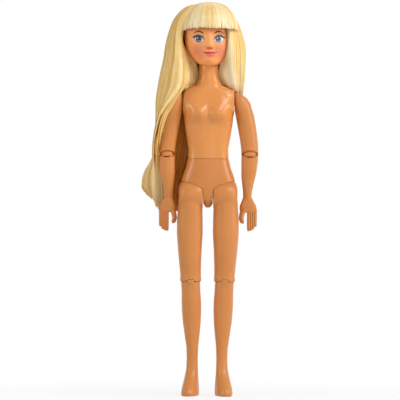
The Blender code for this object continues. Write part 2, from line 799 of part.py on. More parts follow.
def hair_cap_form(grow, foot):
    """The form of the rooted hair that lies close round the skull, from its edge up."""
    rows = rows_between(head_rows(), HAIR_CAP_EDGE_HEIGHT, CROWN_HEIGHT)
    return loft(domed(rows, grow), HAIR_SIDES, grow=grow, foot=foot, top=0.0)


def make_hair_cap(home, far):
    form = hair_cap_form(HAIR_CAP_THICKNESS, 0.0)
    cap = mesh_object("hair_cap", *form, home, "hair_fibre")
    skull = mesh_object("skull_space", *hair_cap_form(SEAM_GAP, OVERRUN), home)
    return cut(cap, skull, window("face_window", SEAM_GAP, home, far))


def window(name, margin, home, far):
    """A prism that opens from the neck's axis to the front, up to the top of the fringe."""
    half = math.radians(FRINGE_HALF_ANGLE_DEG)
    back = HEAD_HALF_DEPTH * WINDOW_APEX_SHARE
    outline = [
        Vector((0, back + margin, 0)),
        Vector((-far * math.sin(half), back - far * math.cos(half), 0)),
        Vector((far * math.sin(half), back - far * math.cos(half), 0)),
    ]
    low = Vector((0, 0, HEAD_BOTTOM - far))
    high = Vector((0, 0, CROWN_HEIGHT - FRINGE_TOP_DROP + margin))
    points = [p + low for p in outline] + [p + high for p in outline]
    faces = [(2, 1, 0), (3, 4, 5), (0, 1, 4, 3), (1, 2, 5, 4), (2, 0, 3, 5)]
    return mesh_object(name, points, faces, home)


def make_hair_fringe(home, far):
    """The fringe, cut straight across, that hangs from the crown over the forehead."""
    rows = rows_between(head_rows(), FRINGE_EDGE_HEIGHT, CROWN_HEIGHT)
    rows = domed(rows, HAIR_CAP_THICKNESS)
    form = loft(rows, HAIR_SIDES, grow=HAIR_CAP_THICKNESS, foot=0.0, top=0.0)
    fringe = mesh_object("hair_fringe", *form, home, "hair_fibre")
    inner = HAIR_CAP_THICKNESS - FRINGE_THICKNESS
    skull = mesh_object("forehead_space", *hair_cap_form(inner, OVERRUN), home)
    combine(fringe, window("fringe_space", -SEAM_GAP, home, far), "INTERSECT")
    return cut(fringe, skull)


def fall_rows(shares, low, high, reach):
    """A hair fall's rows from its two sides, front and back."""
    rows = []
    for up, one, other, front, back in shares:
        rows.append(
            (
                low + up * (high - low),
                (one + other) / 2 * reach,
                (front + back) / 2 * HAIR_DEPTH,
                abs(other - one) / 2 * reach,
                (back - front) / 2 * HAIR_DEPTH,
                (back - front) / 2 * HAIR_DEPTH,
                FALL_SQUARENESS,
            )
        )
    return rows


def locks(points, sides):
    """Shallow locks: every few points of a ring stand proud of their neighbours."""
    for ring in range(len(points) // sides):
        loop = points[ring * sides : (ring + 1) * sides]
        middle = sum(loop, Vector()) / sides
        for i, point in enumerate(loop):
            wave = math.cos(2 * math.pi * i * LOCK_COUNT_SHARE)
            out = point - middle
            out.z = 0.0
            if out.length > LOCK_DEPTH:
                point += out.normalized() * LOCK_DEPTH * wave
    return points


def make_hair_falls(home, neck, body_spaces, far):
    """Three falls of long hair, cut clear of the head, neck, torso and arms."""
    cap_form = hair_cap_form(HAIR_CAP_THICKNESS + SEAM_GAP, SEAM_GAP)
    cap_space = mesh_object("cap_space", *cap_form, neck)
    head_space = mesh_object(
        "head_space", *loft(head_rows(), HEAD_SIDES // 2, fine=1, grow=SOFT_GAP), neck
    )
    lock_space = box(
        "lock_space",
        (-far, -far, 0.0),
        (-HAIR_SPLIT / 2, SEAM_GAP, SHOULDER_LOCK_TOP_HEIGHT + SEAM_GAP),
        home,
    )
    half_gap = SEAM_GAP / 2
    top = HAIR_FALL_TOP_HEIGHT
    lock_top = SHOULDER_LOCK_TOP_HEIGHT
    falls = (
        ("hair_fall_right", RIGHT_FALL_SHARES, HAIR_LENGTH, top, HAIR_SWEEP),
        ("hair_fall_back", BACK_FALL_SHARES, BACK_HAIR_LENGTH, top, HAIR_SWEEP),
        ("hair_fall_left", LEFT_FALL_SHARES, LEFT_HAIR_LENGTH, top, HAIR_LEFT_REACH),
        ("hair_lock_right", SHOULDER_LOCK_SHARES, SHOULDER_LOCK_LENGTH, lock_top, HAIR_SWEEP),
    )
    keep = {
        "hair_fall_right": (-far, -HAIR_SPLIT - half_gap),
        "hair_fall_back": (-HAIR_SPLIT + half_gap, HAIR_SPLIT - half_gap),
        "hair_fall_left": (HAIR_SPLIT + half_gap, far),
    }
    for name, shares, length, high, reach in falls:
        rows = fall_rows(shares, high - length, high, reach)
        points, faces = loft(rows, HAIR_SIDES)
        fall = mesh_object(name, locks(points, HAIR_SIDES), faces, home, "hair_fibre")
        if name in keep:
            left, right = keep[name]
            high_end = CROWN_HEIGHT + far
            slab = box(name + "_slab", (left, -far, 0.0), (right, far, high_end), home)
            combine(fall, slab, "INTERSECT")
        else:
            behind = box(name + "_behind", (-far, 0.0, 0.0), (far, far, high + far), home)
            cut(fall, behind)
        if name == "hair_fall_right":
            cut(fall, lock_space)
        cut(fall, cap_space, head_space, *body_spaces)


# Torso, neck and pelvis


def torso_rows(low=None, high=None):
    span = SHOULDER_LINE_HEIGHT - TORSO_BOTTOM
    rows = [
        (
            TORSO_BOTTOM + up * span,
            0.0,
            0.0,
            wide * TORSO_HALF_WIDTH,
            front * CHEST_HALF_DEPTH,
            back * CHEST_HALF_DEPTH,
            square,
        )
        for up, wide, front, back, square in TORSO_SHARES
    ]
    neck = NECK_TOP_HEIGHT - SHOULDER_LINE_HEIGHT
    rows += [
        (
            SHOULDER_LINE_HEIGHT + up * neck,
            0.0,
            0.0,
            wide * NECK_HALF_WIDTH,
            front * NECK_HALF_WIDTH,
            back * NECK_HALF_WIDTH,
            square,
        )
        for up, wide, front, back, square in NECK_SHARES
    ]
    return rows


def bust_relief(point):
    """Raises the bust, which falls away faster below its middle than above it."""
    span = SHOULDER_LINE_HEIGHT - TORSO_BOTTOM
    bumps = []
    for aside, up, wide, high in BUST_SHARES:
        middle = TORSO_BOTTOM + up * span
        reach = high if point.z > middle else high * BUST_UNDER_SHARE
        bumps.append(
            (aside * TORSO_HALF_WIDTH, middle, wide * TORSO_HALF_WIDTH, reach * span, BUST_RISE)
        )
    if point.y < 0:
        facing = min(1.0, -point.y / (FACE_FRONT_SHARE * CHEST_HALF_DEPTH))
        point.y -= facing * heaps(point.x, point.z, bumps)
    return point


def kept_within(half_width, front, reshape=None):
    """Presses a form flat at its two sides and at the seam between front and back."""

    def press(point):
        point = reshape(point) if reshape else point
        point.x = max(-half_width, min(half_width, point.x))
        if front is True:
            point.y = min(point.y, -SEAM_GAP / 2)
        elif front is False:
            point.y = max(point.y, SEAM_GAP / 2)
        return point

    return press


def peg_profile(gap):
    """The shoulder peg along X, from its outer end in the arm to its flange in the chest."""
    inner = TORSO_HALF_WIDTH - SHELL_WALL - JOINT_GAP + gap
    return [
        (0.0, SHOULDER_PEG_REACH + gap),
        (SHOULDER_PEG_RADIUS + gap, SHOULDER_PEG_REACH + gap),
        (SHOULDER_PEG_RADIUS + gap, inner),
        (SHOULDER_FLANGE_RADIUS + gap, inner),
        (SHOULDER_FLANGE_RADIUS + gap, inner - SHOULDER_FLANGE_THICKNESS - 2 * gap),
        (0.0, inner - SHOULDER_FLANGE_THICKNESS - 2 * gap),
    ]


def bore_profile(radius, top, bottom):
    return [(0.0, top), (radius, top), (radius, bottom), (0.0, bottom)]


def sided(profile, side):
    """The same turned outline on the doll's other side."""
    return profile if side > 0 else [(r, -h) for r, h in reversed(profile)]


def neck_post_profile(gap):
    knob_foot = HEAD_BOTTOM + NECK_KNOB_HEIGHT * KNOB_FLOOR_SHARE + JOINT_GAP
    knob_top = NECK_TOP_HEIGHT + NECK_KNOB_HEIGHT
    foot_top = CHEST_CAVITY_TOP_HEIGHT - JOINT_GAP
    return [
        (0.0, knob_top),
        (NECK_KNOB_RADIUS * KNOB_TIP_SHARE, knob_top),
        (NECK_KNOB_RADIUS, knob_foot + (knob_top - knob_foot) * KNOB_TIP_SHARE),
        (NECK_KNOB_RADIUS, knob_foot),
        (NECK_POST_RADIUS + gap, knob_foot),
        (NECK_POST_RADIUS + gap, foot_top + gap),
        (NECK_POST_FOOT_RADIUS + gap, foot_top + gap),
        (NECK_POST_FOOT_RADIUS + gap, foot_top - NECK_POST_FOOT_HEIGHT - gap),
        (0.0, foot_top - NECK_POST_FOOT_HEIGHT - gap),
    ]


def waist_spool_profile(gap):
    upper = TORSO_BOTTOM + SHELL_WALL + JOINT_GAP
    lower = PELVIS_TOP - SHELL_WALL - JOINT_GAP
    return [
        (0.0, upper + WAIST_FLANGE_THICKNESS + gap),
        (WAIST_FLANGE_RADIUS + gap, upper + WAIST_FLANGE_THICKNESS + gap),
        (WAIST_FLANGE_RADIUS + gap, upper - gap),
        (WAIST_STEM_RADIUS + gap, upper - gap),
        (WAIST_STEM_RADIUS + gap, lower + gap),
        (WAIST_FLANGE_RADIUS + gap, lower + gap),
        (WAIST_FLANGE_RADIUS + gap, lower - WAIST_FLANGE_THICKNESS - gap),
        (0.0, lower - WAIST_FLANGE_THICKNESS - gap),
    ]


def make_torso(home, far):
    ground = Vector((0, 0, 0))
    rows = rows_between(
        torso_rows(), TORSO_BOTTOM + SHELL_WALL, CHEST_CAVITY_TOP_HEIGHT
    )
    inside = kept_within(TORSO_HALF_WIDTH - SHELL_WALL, None)
    form = loft(rows, LIMB_SIDES, grow=-SHELL_WALL, foot=0.0, reshape=inside)
    cavity = mesh_object("chest_cavity", *form, home)
    neck_bore = bore_profile(
        NECK_POST_RADIUS + JOINT_GAP,
        NECK_TOP_HEIGHT + OVERRUN,
        CHEST_CAVITY_TOP_HEIGHT - OVERRUN,
    )
    spool_bore = bore_profile(
        WAIST_STEM_RADIUS + JOINT_GAP, TORSO_BOTTOM + 2 * SHELL_WALL, WAIST_HEIGHT - OVERRUN
    )
    peg_bore = bore_profile(
        SHOULDER_PEG_RADIUS + JOINT_GAP,
        TORSO_HALF_WIDTH + OVERRUN,
        TORSO_HALF_WIDTH - 2 * SHELL_WALL,
    )
    cutters = [cavity]
    cutters.append(turned("neck_bore", neck_bore, home, place=ground))
    cutters.append(
        turned("torso_spool_bore", spool_bore, home, place=ground, steps=HIP_STEPS)
    )
    axis = Vector((0, 0, SHOULDER_HEIGHT))
    for side, word in ((1, "left"), (-1, "right")):
        profile = sided(peg_bore, side)
        cutters.append(
            turned(f"shoulder_bore_{word}", profile, home, place=axis, axis="X")
        )
    rows = [
        row
        for i, row in enumerate(refined(torso_rows(), BUST_STEPS))
        if i % BUST_STEPS == 0 or BUST_LOW_HEIGHT < row[0] < SHOULDER_HEIGHT
    ]
    for name, front in (("torso_front", True), ("torso_back", False)):
        press = kept_within(TORSO_HALF_WIDTH, front, bust_relief)
        points, faces = loft(rows, BODY_SIDES, reshape=press)
        cut(mesh_object(name, points, faces, home, "skin_plastic"), *cutters)
    turned("neck_post", neck_post_profile(0.0), home, "inner_plastic", place=ground)
    turned("waist_spool", waist_spool_profile(0.0), home, "inner_plastic", place=ground)


def pelvis_rows():
    span = PELVIS_TOP - CROTCH_HEIGHT
    return [
        (
            CROTCH_HEIGHT + up * span,
            0.0,
            0.0,
            wide * PELVIS_HALF_WIDTH,
            front * PELVIS_HALF_DEPTH,
            back * PELVIS_HALF_DEPTH,
            square,
        )
        for up, wide, front, back, square in PELVIS_SHARES
    ]


# Outline of a hip disc: share of the way from its inner face out, share of its radius


def hip_disc_profile(gap):
    inner = HIP_WEB_HALF_WIDTH + JOINT_GAP - gap
    outer = HIP_DISC_OUTER + gap
    outline = [
        (HIP_DISC_RADIUS * wide + gap, inner + (outer - inner) * along)
        for along, wide in reversed(HIP_DISC_SHARES)
    ]
    return [(0.0, outer), *outline, (0.0, inner)]


def hip_axle_profile(gap):
    end = HIP_AXLE_HALF_LENGTH
    head = end - HIP_AXLE_HEAD_LENGTH
    return [
        (0.0, end + gap),
        (HIP_AXLE_HEAD_RADIUS + gap, end + gap),
        (HIP_AXLE_HEAD_RADIUS + gap, head - gap),
        (HIP_AXLE_RADIUS + gap, head - gap),
        (HIP_AXLE_RADIUS + gap, gap - head),
        (HIP_AXLE_HEAD_RADIUS + gap, gap - head),
        (HIP_AXLE_HEAD_RADIUS + gap, -end - gap),
        (0.0, -end - gap),
    ]


def make_pelvis(home, far):
    ground = Vector((0, 0, 0))
    axis = Vector((0, 0, HIP_HEIGHT))
    rows = rows_between(
        pelvis_rows(), PELVIS_CAVITY_FLOOR_HEIGHT, PELVIS_TOP - SHELL_WALL
    )
    form = loft(rows, LIMB_SIDES, grow=-SHELL_WALL, foot=0.0)
    cavity = mesh_object("pelvis_cavity", *form, home)
    spool_bore = bore_profile(
        WAIST_STEM_RADIUS + JOINT_GAP, WAIST_HEIGHT + OVERRUN, PELVIS_TOP - 2 * SHELL_WALL
    )
    end = HIP_WEB_HALF_WIDTH + OVERRUN
    axle_bore = bore_profile(HIP_AXLE_RADIUS + JOINT_GAP, end, -end)
    cutters = []
    for side, word in ((1, "left"), (-1, "right")):
        cutters.append(
            turned(
                f"hip_socket_{word}",
                sided(hip_disc_profile(JOINT_GAP), side),
                home,
                place=axis,
                axis="X",
                steps=HIP_STEPS,
            )
        )
        near = side * (HIP_WEB_HALF_WIDTH + LEG_OPENING_STEP)
        cutters.append(
            box(
                f"leg_opening_{word}",
                (min(near, side * far), -far, 0.0),
                (max(near, side * far), far, HIP_HEIGHT + LEG_OPENING_RISE),
                home,
            )
        )
    cutters.append(cavity)
    cutters.append(
        turned("pelvis_spool_bore", spool_bore, home, place=ground, steps=HIP_STEPS)
    )
    cutters.append(turned("pelvis_axle_bore", axle_bore, home, place=axis, axis="X"))
    for name, front in (("pelvis_front", True), ("pelvis_back", False)):
        press = kept_within(PELVIS_HALF_WIDTH, front)
        points, faces = loft(pelvis_rows(), BODY_SIDES, reshape=press)
        cut(mesh_object(name, points, faces, home, "skin_plastic"), *cutters)
    turned("hip_axle", hip_axle_profile(0.0), home, "pin_steel", place=axis, axis="X")


# Legs


def pin_profile(radius, half_length, gap):
    end = half_length + gap
    return [(0.0, end), (radius + gap, end), (radius + gap, -end), (0.0, -end)]


def leg_rows(shares, low, high, half_width, half_depth, front=None, back=None):
    front = front or half_depth
    back = back or half_depth
    return [
        (
            low + up * (high - low),
            centre * LEG_SPREAD,
            0.0,
            wide * half_width,
            ahead * front,
            behind * back,
            square,
        )
        for up, centre, wide, ahead, behind, square in shares
    ]


def make_thigh(side, word, home, far):
    axis = Vector((0, 0, HIP_HEIGHT))
    knee = Vector((side * LEG_SPREAD * THIGH_SHARES[0][1], 0, KNEE_HEIGHT))
    rows = leg_rows(
        THIGH_SHARES,
        KNEE_HEIGHT + JOINT_GAP / 2,
        HIP_HEIGHT - THIGH_TOP_DROP,
        THIGH_HALF_WIDTH,
        THIGH_HALF_DEPTH,
    )
    points, faces = loft(rows, LIMB_SIDES)
    thigh = mesh_object(f"thigh_{word}", mirrored(points, side), faces, home, "skin_plastic")
    disc = turned(
        f"hip_disc_{word}",
        sided(hip_disc_profile(0.0), side),
        home,
        place=axis,
        axis="X",
        steps=HIP_STEPS,
    )
    barrel = turned(
        f"knee_barrel_{word}",
        pin_profile(KNEE_BARREL_RADIUS, KNEE_BARREL_HALF_LENGTH, 0.0),
        home,
        place=knee,
        axis="X",
    )
    notch = wedge(
        f"thigh_knee_notch_{word}", knee, far / 2, far, 180.0 - KNEE_NOTCH_DEG, 181.0, home
    )
    slot_half = KNEE_TONGUE_WIDTH / 2 + JOINT_GAP
    slot = box(
        f"knee_slot_{word}",
        (knee.x - slot_half, -THIGH_HALF_DEPTH, 0.0),
        (knee.x + slot_half, THIGH_HALF_DEPTH, KNEE_HEIGHT + KNEE_CAP_RISE + JOINT_GAP),
        home,
    )
    root_room = box(
        f"knee_root_room_{word}",
        (knee.x - slot_half, 0.0, 0.0),
        (knee.x + slot_half, THIGH_HALF_DEPTH, KNEE_HEIGHT + KNEE_ROOT_HALF_DEPTH + JOINT_GAP),
        home,
    )
    ream = turned(
        f"knee_tongue_space_{word}",
        pin_profile(KNEE_TONGUE_RADIUS + JOINT_GAP, slot_half, 0.0),
        home,
        place=knee,
        axis="X",
    )
    bore = turned(
        f"thigh_pin_bore_{word}",
        pin_profile(KNEE_PIN_RADIUS, KNEE_BARREL_HALF_LENGTH, JOINT_GAP),
        home,
        place=knee,
        axis="X",
        steps=PIN_STEPS,
    )
    axle = turned(
        f"thigh_axle_bore_{word}", hip_axle_profile(JOINT_GAP), home, place=axis, axis="X"
    )
    join(thigh, disc)
    cut(thigh, notch)
    join(thigh, barrel)
    cut(thigh, slot, root_room, ream, bore, axle)
    turned(
        f"knee_pin_{word}",
        pin_profile(KNEE_PIN_RADIUS, KNEE_BARREL_HALF_LENGTH, 0.0),
        home,
        "pin_steel",
        place=knee,
        axis="X",
        steps=PIN_STEPS,
    )
    return knee


def toe_out(point):
    """Turns the foot outwards, more towards the toes and not at all above the ankle."""
    low = max(0.0, 1.0 - point.z / (FOOT_HEIGHT * TOE_TURN_SHARE))
    point.x += -point.y * TOE_OUT_SHARE * min(1.0, 2 * low)
    return point


def make_lower_leg(side, word, home, knee, far):
    foot = leg_rows(
        FOOT_SHARES, 0.0, FOOT_HEIGHT, FOOT_HALF_WIDTH, FOOT_FRONT, FOOT_FRONT, FOOT_BACK
    )
    shin = leg_rows(
        LOWER_LEG_SHARES,
        FOOT_HEIGHT,
        KNEE_HEIGHT - JOINT_GAP / 2,
        CALF_HALF_WIDTH,
        CALF_HALF_DEPTH,
    )
    points, faces = loft(foot + shin, LIMB_SIDES, reshape=toe_out)
    leg = mesh_object(f"lower_leg_{word}", mirrored(points, side), faces, home, "skin_vinyl")
    socket = turned(
        f"knee_socket_{word}",
        pin_profile(KNEE_BARREL_RADIUS, KNEE_BARREL_HALF_LENGTH, JOINT_GAP),
        home,
        place=knee,
        axis="X",
    )
    notch = wedge(
        f"calf_knee_notch_{word}", knee, far / 2, far, 179.0, 180.0 + KNEE_NOTCH_DEG, home
    )
    cut(leg, socket, notch)
    tongue = turned(
        f"knee_tongue_{word}",
        pin_profile(KNEE_TONGUE_RADIUS, KNEE_TONGUE_WIDTH / 2, 0.0),
        home,
        place=knee,
        axis="X",
    )
    root = box(
        f"knee_tongue_root_{word}",
        (
            knee.x - KNEE_TONGUE_WIDTH / 2,
            -KNEE_ROOT_HALF_DEPTH,
            KNEE_HEIGHT - KNEE_BARREL_RADIUS - OVERRUN,
        ),
        (knee.x + KNEE_TONGUE_WIDTH / 2, KNEE_ROOT_HALF_DEPTH, KNEE_HEIGHT),
        home,
    )
    cap_rows = [
        (
            KNEE_HEIGHT - KNEE_CAP_DROP + up * (KNEE_CAP_DROP + KNEE_CAP_RISE),
            knee.x,
            -CALF_HALF_DEPTH * KNEE_CAP_PLACE_SHARE,
            wide * KNEE_TONGUE_WIDTH / 2,
            proud * KNEE_CAP_DEPTH,
            KNEE_CAP_DEPTH * KNEE_CAP_ROOT_SHARE,
            KNEE_CAP_SQUARENESS,
        )
        for up, wide, proud in KNEE_CAP_SHARES
    ]
    cap = mesh_object(f"kneecap_{word}", *loft(cap_rows, FINGER_SIDES * 2), home)
    bore_half = (KNEE_TONGUE_WIDTH / 2 + KNEE_BARREL_HALF_LENGTH) / 2
    bore = turned(
        f"leg_pin_bore_{word}",
        pin_profile(KNEE_PIN_RADIUS, bore_half, JOINT_GAP),
        home,
        place=knee,
        axis="X",
        steps=PIN_STEPS,
    )
    join(leg, tongue, root, cap)
    cut(leg, bore)


# Arms


def arm_rows(shares, low, high, start, end, half_width, half_depth):
    """Rows from an upper centre to a lower one, whose height shares run from the bottom up."""
    return [
        (
            low + up * (high - low),
            start + (end - start) * along,
            0.0,
            wide * half_width,
            front * half_depth,
            back * half_depth,
            square,
        )
        for up, along, wide, front, back, square in shares
    ]


def upper_arm_rows():
    top = SHOULDER_HEIGHT + SHOULDER_DOME_RADIUS * (1 - DOME_TIP_SHARE)
    rows = arm_rows(
        UPPER_ARM_SHARES,
        ELBOW_HEIGHT + JOINT_GAP / 2,
        top,
        ARM_CENTRE,
        ELBOW_CENTRE,
        UPPER_ARM_HALF_WIDTH,
        ARM_HALF_DEPTH,
    )
    along, wide, front, back = UPPER_ARM_TIP_SHARES
    rows.append(
        (
            SHOULDER_HEIGHT + SHOULDER_DOME_RADIUS,
            ARM_CENTRE + (ELBOW_CENTRE - ARM_CENTRE) * along,
            0.0,
            wide * UPPER_ARM_HALF_WIDTH,
            front * ARM_HALF_DEPTH,
            back * ARM_HALF_DEPTH,
            2.0,
        )
    )
    return rows


def elbow_ball_profile(gap):
    """A ball with a stem up into the upper arm, which ends in a head."""
    stem = ELBOW_STEM_LENGTH
    head = stem - ELBOW_STEM_HEAD_LENGTH
    radius = ELBOW_BALL_RADIUS + gap
    start = math.acos((ELBOW_STEM_RADIUS + gap) / radius)
    outline = [
        (0.0, stem + gap),
        (ELBOW_STEM_HEAD_RADIUS + gap, stem + gap),
        (ELBOW_STEM_HEAD_RADIUS + gap, head - gap),
        (ELBOW_STEM_RADIUS + gap, head - gap),
    ]
    for i in range(BALL_ARCS):
        angle = start - (start + math.pi / 2) * i / BALL_ARCS
        outline.append((radius * math.cos(angle), radius * math.sin(angle)))
    outline.append((0.0, -radius))
    return outline


def make_upper_arm(side, word, home, elbow, far):
    axis = Vector((0, 0, SHOULDER_HEIGHT))
    points, faces = loft(upper_arm_rows(), LIMB_SIDES)
    arm = mesh_object(f"upper_arm_{word}", mirrored(points, side), faces, home, "skin_vinyl")
    face = side * (TORSO_HALF_WIDTH + JOINT_GAP)
    beside = box(
        f"beside_torso_{word}",
        (min(face, -side * far), -far, 0.0),
        (max(face, -side * far), far, CROWN_HEIGHT),
        home,
    )
    bore = turned(
        f"arm_peg_bore_{word}", sided(peg_profile(JOINT_GAP), side), home, place=axis, axis="X"
    )
    cup = turned(f"upper_elbow_cup_{word}", elbow_ball_profile(JOINT_GAP), home, place=elbow)
    notch = wedge(
        f"upper_elbow_notch_{word}", elbow, far / 2, far, -1.0, ELBOW_UPPER_NOTCH_DEG, home
    )
    cut(arm, beside, bore, cup, notch)
    turned(
        f"shoulder_peg_{word}",
        sided(peg_profile(0.0), side),
        home,
        "inner_plastic",
        place=axis,
        axis="X",
    )


def make_elbow_ball(side, word, home, elbow, far):
    ball = turned(f"elbow_ball_{word}", elbow_ball_profile(0.0), home, "skin_vinyl", place=elbow)
    chamber = turned(
        f"elbow_chamber_{word}",
        pin_profile(ELBOW_TONGUE_RADIUS, ELBOW_TONGUE_WIDTH / 2, JOINT_GAP),
        home,
        place=elbow,
        axis="X",
    )
    passage = wedge(
        f"elbow_passage_{word}",
        elbow,
        ELBOW_TONGUE_WIDTH / 2 + JOINT_GAP,
        far / 2,
        -90.0,
        -90.0 + ELBOW_BEND_DEG,
        home,
        margin=ELBOW_NECK_WIDTH / 2 + JOINT_GAP,
    )
    bore = turned(
        f"ball_pin_bore_{word}",
        pin_profile(ELBOW_PIN_RADIUS, ELBOW_PIN_HALF_LENGTH + OVERRUN, JOINT_GAP),
        home,
        place=elbow,
        axis="X",
        steps=PIN_STEPS,
    )
    cut(ball, chamber, passage, bore)
    turned(
        f"elbow_pin_{word}",
        pin_profile(ELBOW_PIN_RADIUS, ELBOW_PIN_HALF_LENGTH, 0.0),
        home,
        "pin_steel",
        place=elbow,
        axis="X",
        steps=PIN_STEPS,
    )


def hand_pieces(side, word, home):
    """Palm, four fingers and a thumb, curled for a grip with the palm to the back."""
    palm = [
        (
            KNUCKLE_HEIGHT + up * (WRIST_HEIGHT - KNUCKLE_HEIGHT),
            PALM_CENTRE + (WRIST_CENTRE - PALM_CENTRE) * up,
            0.0,
            wide * PALM_HALF_WIDTH,
            front * PALM_HALF_DEPTH,
            back * PALM_HALF_DEPTH,
            square,
        )
        for up, wide, front, back, square in PALM_SHARES
    ]
    points, faces = loft(palm, LIMB_SIDES // 2, fine=1)
    pieces = [mesh_object(f"palm_{word}", mirrored(points, side), faces, home)]
    root = KNUCKLE_HEIGHT + FINGER_RADIUS * 2
    for i, drop in enumerate(FINGER_DROP_SHARES):
        tip = KNUCKLE_HEIGHT - (KNUCKLE_HEIGHT - FINGERTIP_HEIGHT) * drop
        centre = FINGERS_CENTRE + (i - 1.5) * FINGER_PITCH
        rows = [
            (
                tip + up * (root - tip),
                centre,
                FINGER_CURL * (1 - up) ** 2,
                thick * FINGER_RADIUS,
                thick * FINGER_RADIUS * FINGER_FLAT_SHARE,
                thick * FINGER_RADIUS * FINGER_FLAT_SHARE,
                2.0,
            )
            for up, thick in FINGER_SHARES
        ]
        points, faces = loft(rows, FINGER_SIDES, fine=1)
        pieces.append(
            mesh_object(f"finger_{i + 1}_{word}", mirrored(points, side), faces, home)
        )
    root = KNUCKLE_HEIGHT + THUMB_RADIUS * 2
    rows = [
        (
            THUMB_TIP_HEIGHT + up * (root - THUMB_TIP_HEIGHT),
            THUMB_CENTRE + aside * THUMB_RADIUS,
            FINGER_CURL * (1 - up) ** 2,
            thick * THUMB_RADIUS,
            thick * THUMB_RADIUS * FINGER_FLAT_SHARE,
            thick * THUMB_RADIUS * FINGER_FLAT_SHARE,
            2.0,
        )
        for up, aside, thick in THUMB_SHARES
    ]
    points, faces = loft(rows, FINGER_SIDES, fine=1)
    pieces.append(mesh_object(f"thumb_{word}", mirrored(points, side), faces, home))
    return pieces


def make_forearm(side, word, home, elbow, far):
    rows = arm_rows(
        FOREARM_SHARES,
        WRIST_HEIGHT - WRIST_OVERLAP,
        ELBOW_HEIGHT - JOINT_GAP / 2,
        ELBOW_CENTRE,
        WRIST_CENTRE,
        UPPER_ARM_HALF_WIDTH,
        ARM_HALF_DEPTH,
    )
    points, faces = loft(rows, LIMB_SIDES)
    arm = mesh_object(f"forearm_{word}", mirrored(points, side), faces, home, "skin_vinyl")
    socket = turned(
        f"lower_elbow_cup_{word}", elbow_ball_profile(JOINT_GAP), home, place=elbow
    )
    notch = wedge(
        f"lower_elbow_notch_{word}", elbow, far / 2, far, -ELBOW_LOWER_NOTCH_DEG, 1.0, home
    )
    cut(arm, socket, notch)
    tongue = turned(
        f"elbow_tongue_{word}",
        pin_profile(ELBOW_TONGUE_RADIUS, ELBOW_TONGUE_WIDTH / 2, 0.0),
        home,
        place=elbow,
        axis="X",
    )
    root = box(
        f"elbow_tongue_root_{word}",
        (
            elbow.x - ELBOW_TONGUE_WIDTH / 2,
            -ELBOW_NECK_WIDTH / 2,
            ELBOW_HEIGHT - ELBOW_BALL_RADIUS - OVERRUN,
        ),
        (elbow.x + ELBOW_TONGUE_WIDTH / 2, ELBOW_NECK_WIDTH / 2, ELBOW_HEIGHT),
        home,
    )
    bore_half = (ELBOW_TONGUE_WIDTH / 2 + ELBOW_PIN_HALF_LENGTH) / 2
    bore = turned(
        f"forearm_pin_bore_{word}",
        pin_profile(ELBOW_PIN_RADIUS, bore_half, JOINT_GAP),
        home,
        place=elbow,
        axis="X",
        steps=PIN_STEPS,
    )
    join(arm, tongue, root, *hand_pieces(side, word, home))
    cut(arm, bore)


def body_spaces(home):
    """The outer forms of torso, neck and arms, a little larger, that the hair lies clear of."""
    spaces = [
        mesh_object(
            "torso_space",
            *loft(torso_rows(), LIMB_SIDES, grow=SOFT_GAP, reshape=bust_relief),
            home,
        ),
        mesh_object(
            "pelvis_space", *loft(pelvis_rows(), LIMB_SIDES, grow=SOFT_GAP), home
        ),
    ]
    for side, word in ((1, "left"), (-1, "right")):
        points, faces = loft(upper_arm_rows(), LIMB_SIDES, grow=SOFT_GAP)
        spaces.append(
            mesh_object(f"arm_space_{word}", mirrored(points, side), faces, home)
        )
        spaces.append(
            turned(
                f"hip_space_{word}",
                sided(hip_disc_profile(SOFT_GAP), side),
                home,
                place=Vector((0, 0, HIP_HEIGHT)),
                axis="X",
            )
        )
    return spaces


def centre_on_footprint(root):
    """Moves the doll so that the middle of its outer box stands over the origin."""
    bpy.context.view_layer.update()
    graph = bpy.context.evaluated_depsgraph_get()
    corners = []
    for obj in PARTS.objects:
        if obj.type == "MESH":
            shown = obj.evaluated_get(graph)
            corners += [shown.matrix_world @ v.co for v in shown.to_mesh().vertices]
            shown.to_mesh_clear()
    for axis in (0, 1):
        values = [corner[axis] for corner in corners]
        root.location[axis] -= (min(values) + max(values)) / 2


def make_doll():
    far = CROWN_HEIGHT / 2
    root = pivot("doll_root", (0, 0, 0))
    hips = pivot("pelvis_pivot", (0, 0, 0), root)
    waist = pivot("waist_pivot", (0, 0, WAIST_HEIGHT), hips)
    neck = pivot("neck_pivot", (0, 0, NECK_TOP_HEIGHT), waist, math.radians(HEAD_TURN_DEG))
    falls = pivot("hair_fall_pivot", (0, 0, NECK_TOP_HEIGHT), waist)
    make_head(neck)
    make_hair_cap(neck, far)
    make_hair_fringe(neck, far)
    make_torso(waist, far)
    make_pelvis(hips, far)
    for side, word in ((1, "left"), (-1, "right")):
        hip = pivot(f"hip_pivot_{word}", (side * LEG_SPREAD, 0, HIP_HEIGHT), hips)
        knee = make_thigh(side, word, hip, far)
        make_lower_leg(side, word, pivot(f"knee_pivot_{word}", knee, hip), knee, far)
        shoulder = pivot(
            f"shoulder_pivot_{word}", (side * TORSO_HALF_WIDTH, 0, SHOULDER_HEIGHT), waist
        )
        elbow = Vector((side * ELBOW_CENTRE, 0, ELBOW_HEIGHT))
        make_upper_arm(side, word, shoulder, elbow, far)
        twist = pivot(f"elbow_twist_pivot_{word}", elbow, shoulder)
        make_elbow_ball(side, word, twist, elbow, far)
        make_forearm(side, word, pivot(f"elbow_bend_pivot_{word}", elbow, twist), elbow, far)
    make_hair_falls(falls, neck, body_spaces(waist), far)
    centre_on_footprint(root)


make_doll()
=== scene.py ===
"""The doll's looks on its CAD frame: skins, painted face, hair, camera and light."""

import json
import math
import random

import bmesh
import bpy
import numpy as np
from mathutils import Matrix, Vector
from mathutils.bvhtree import BVHTree

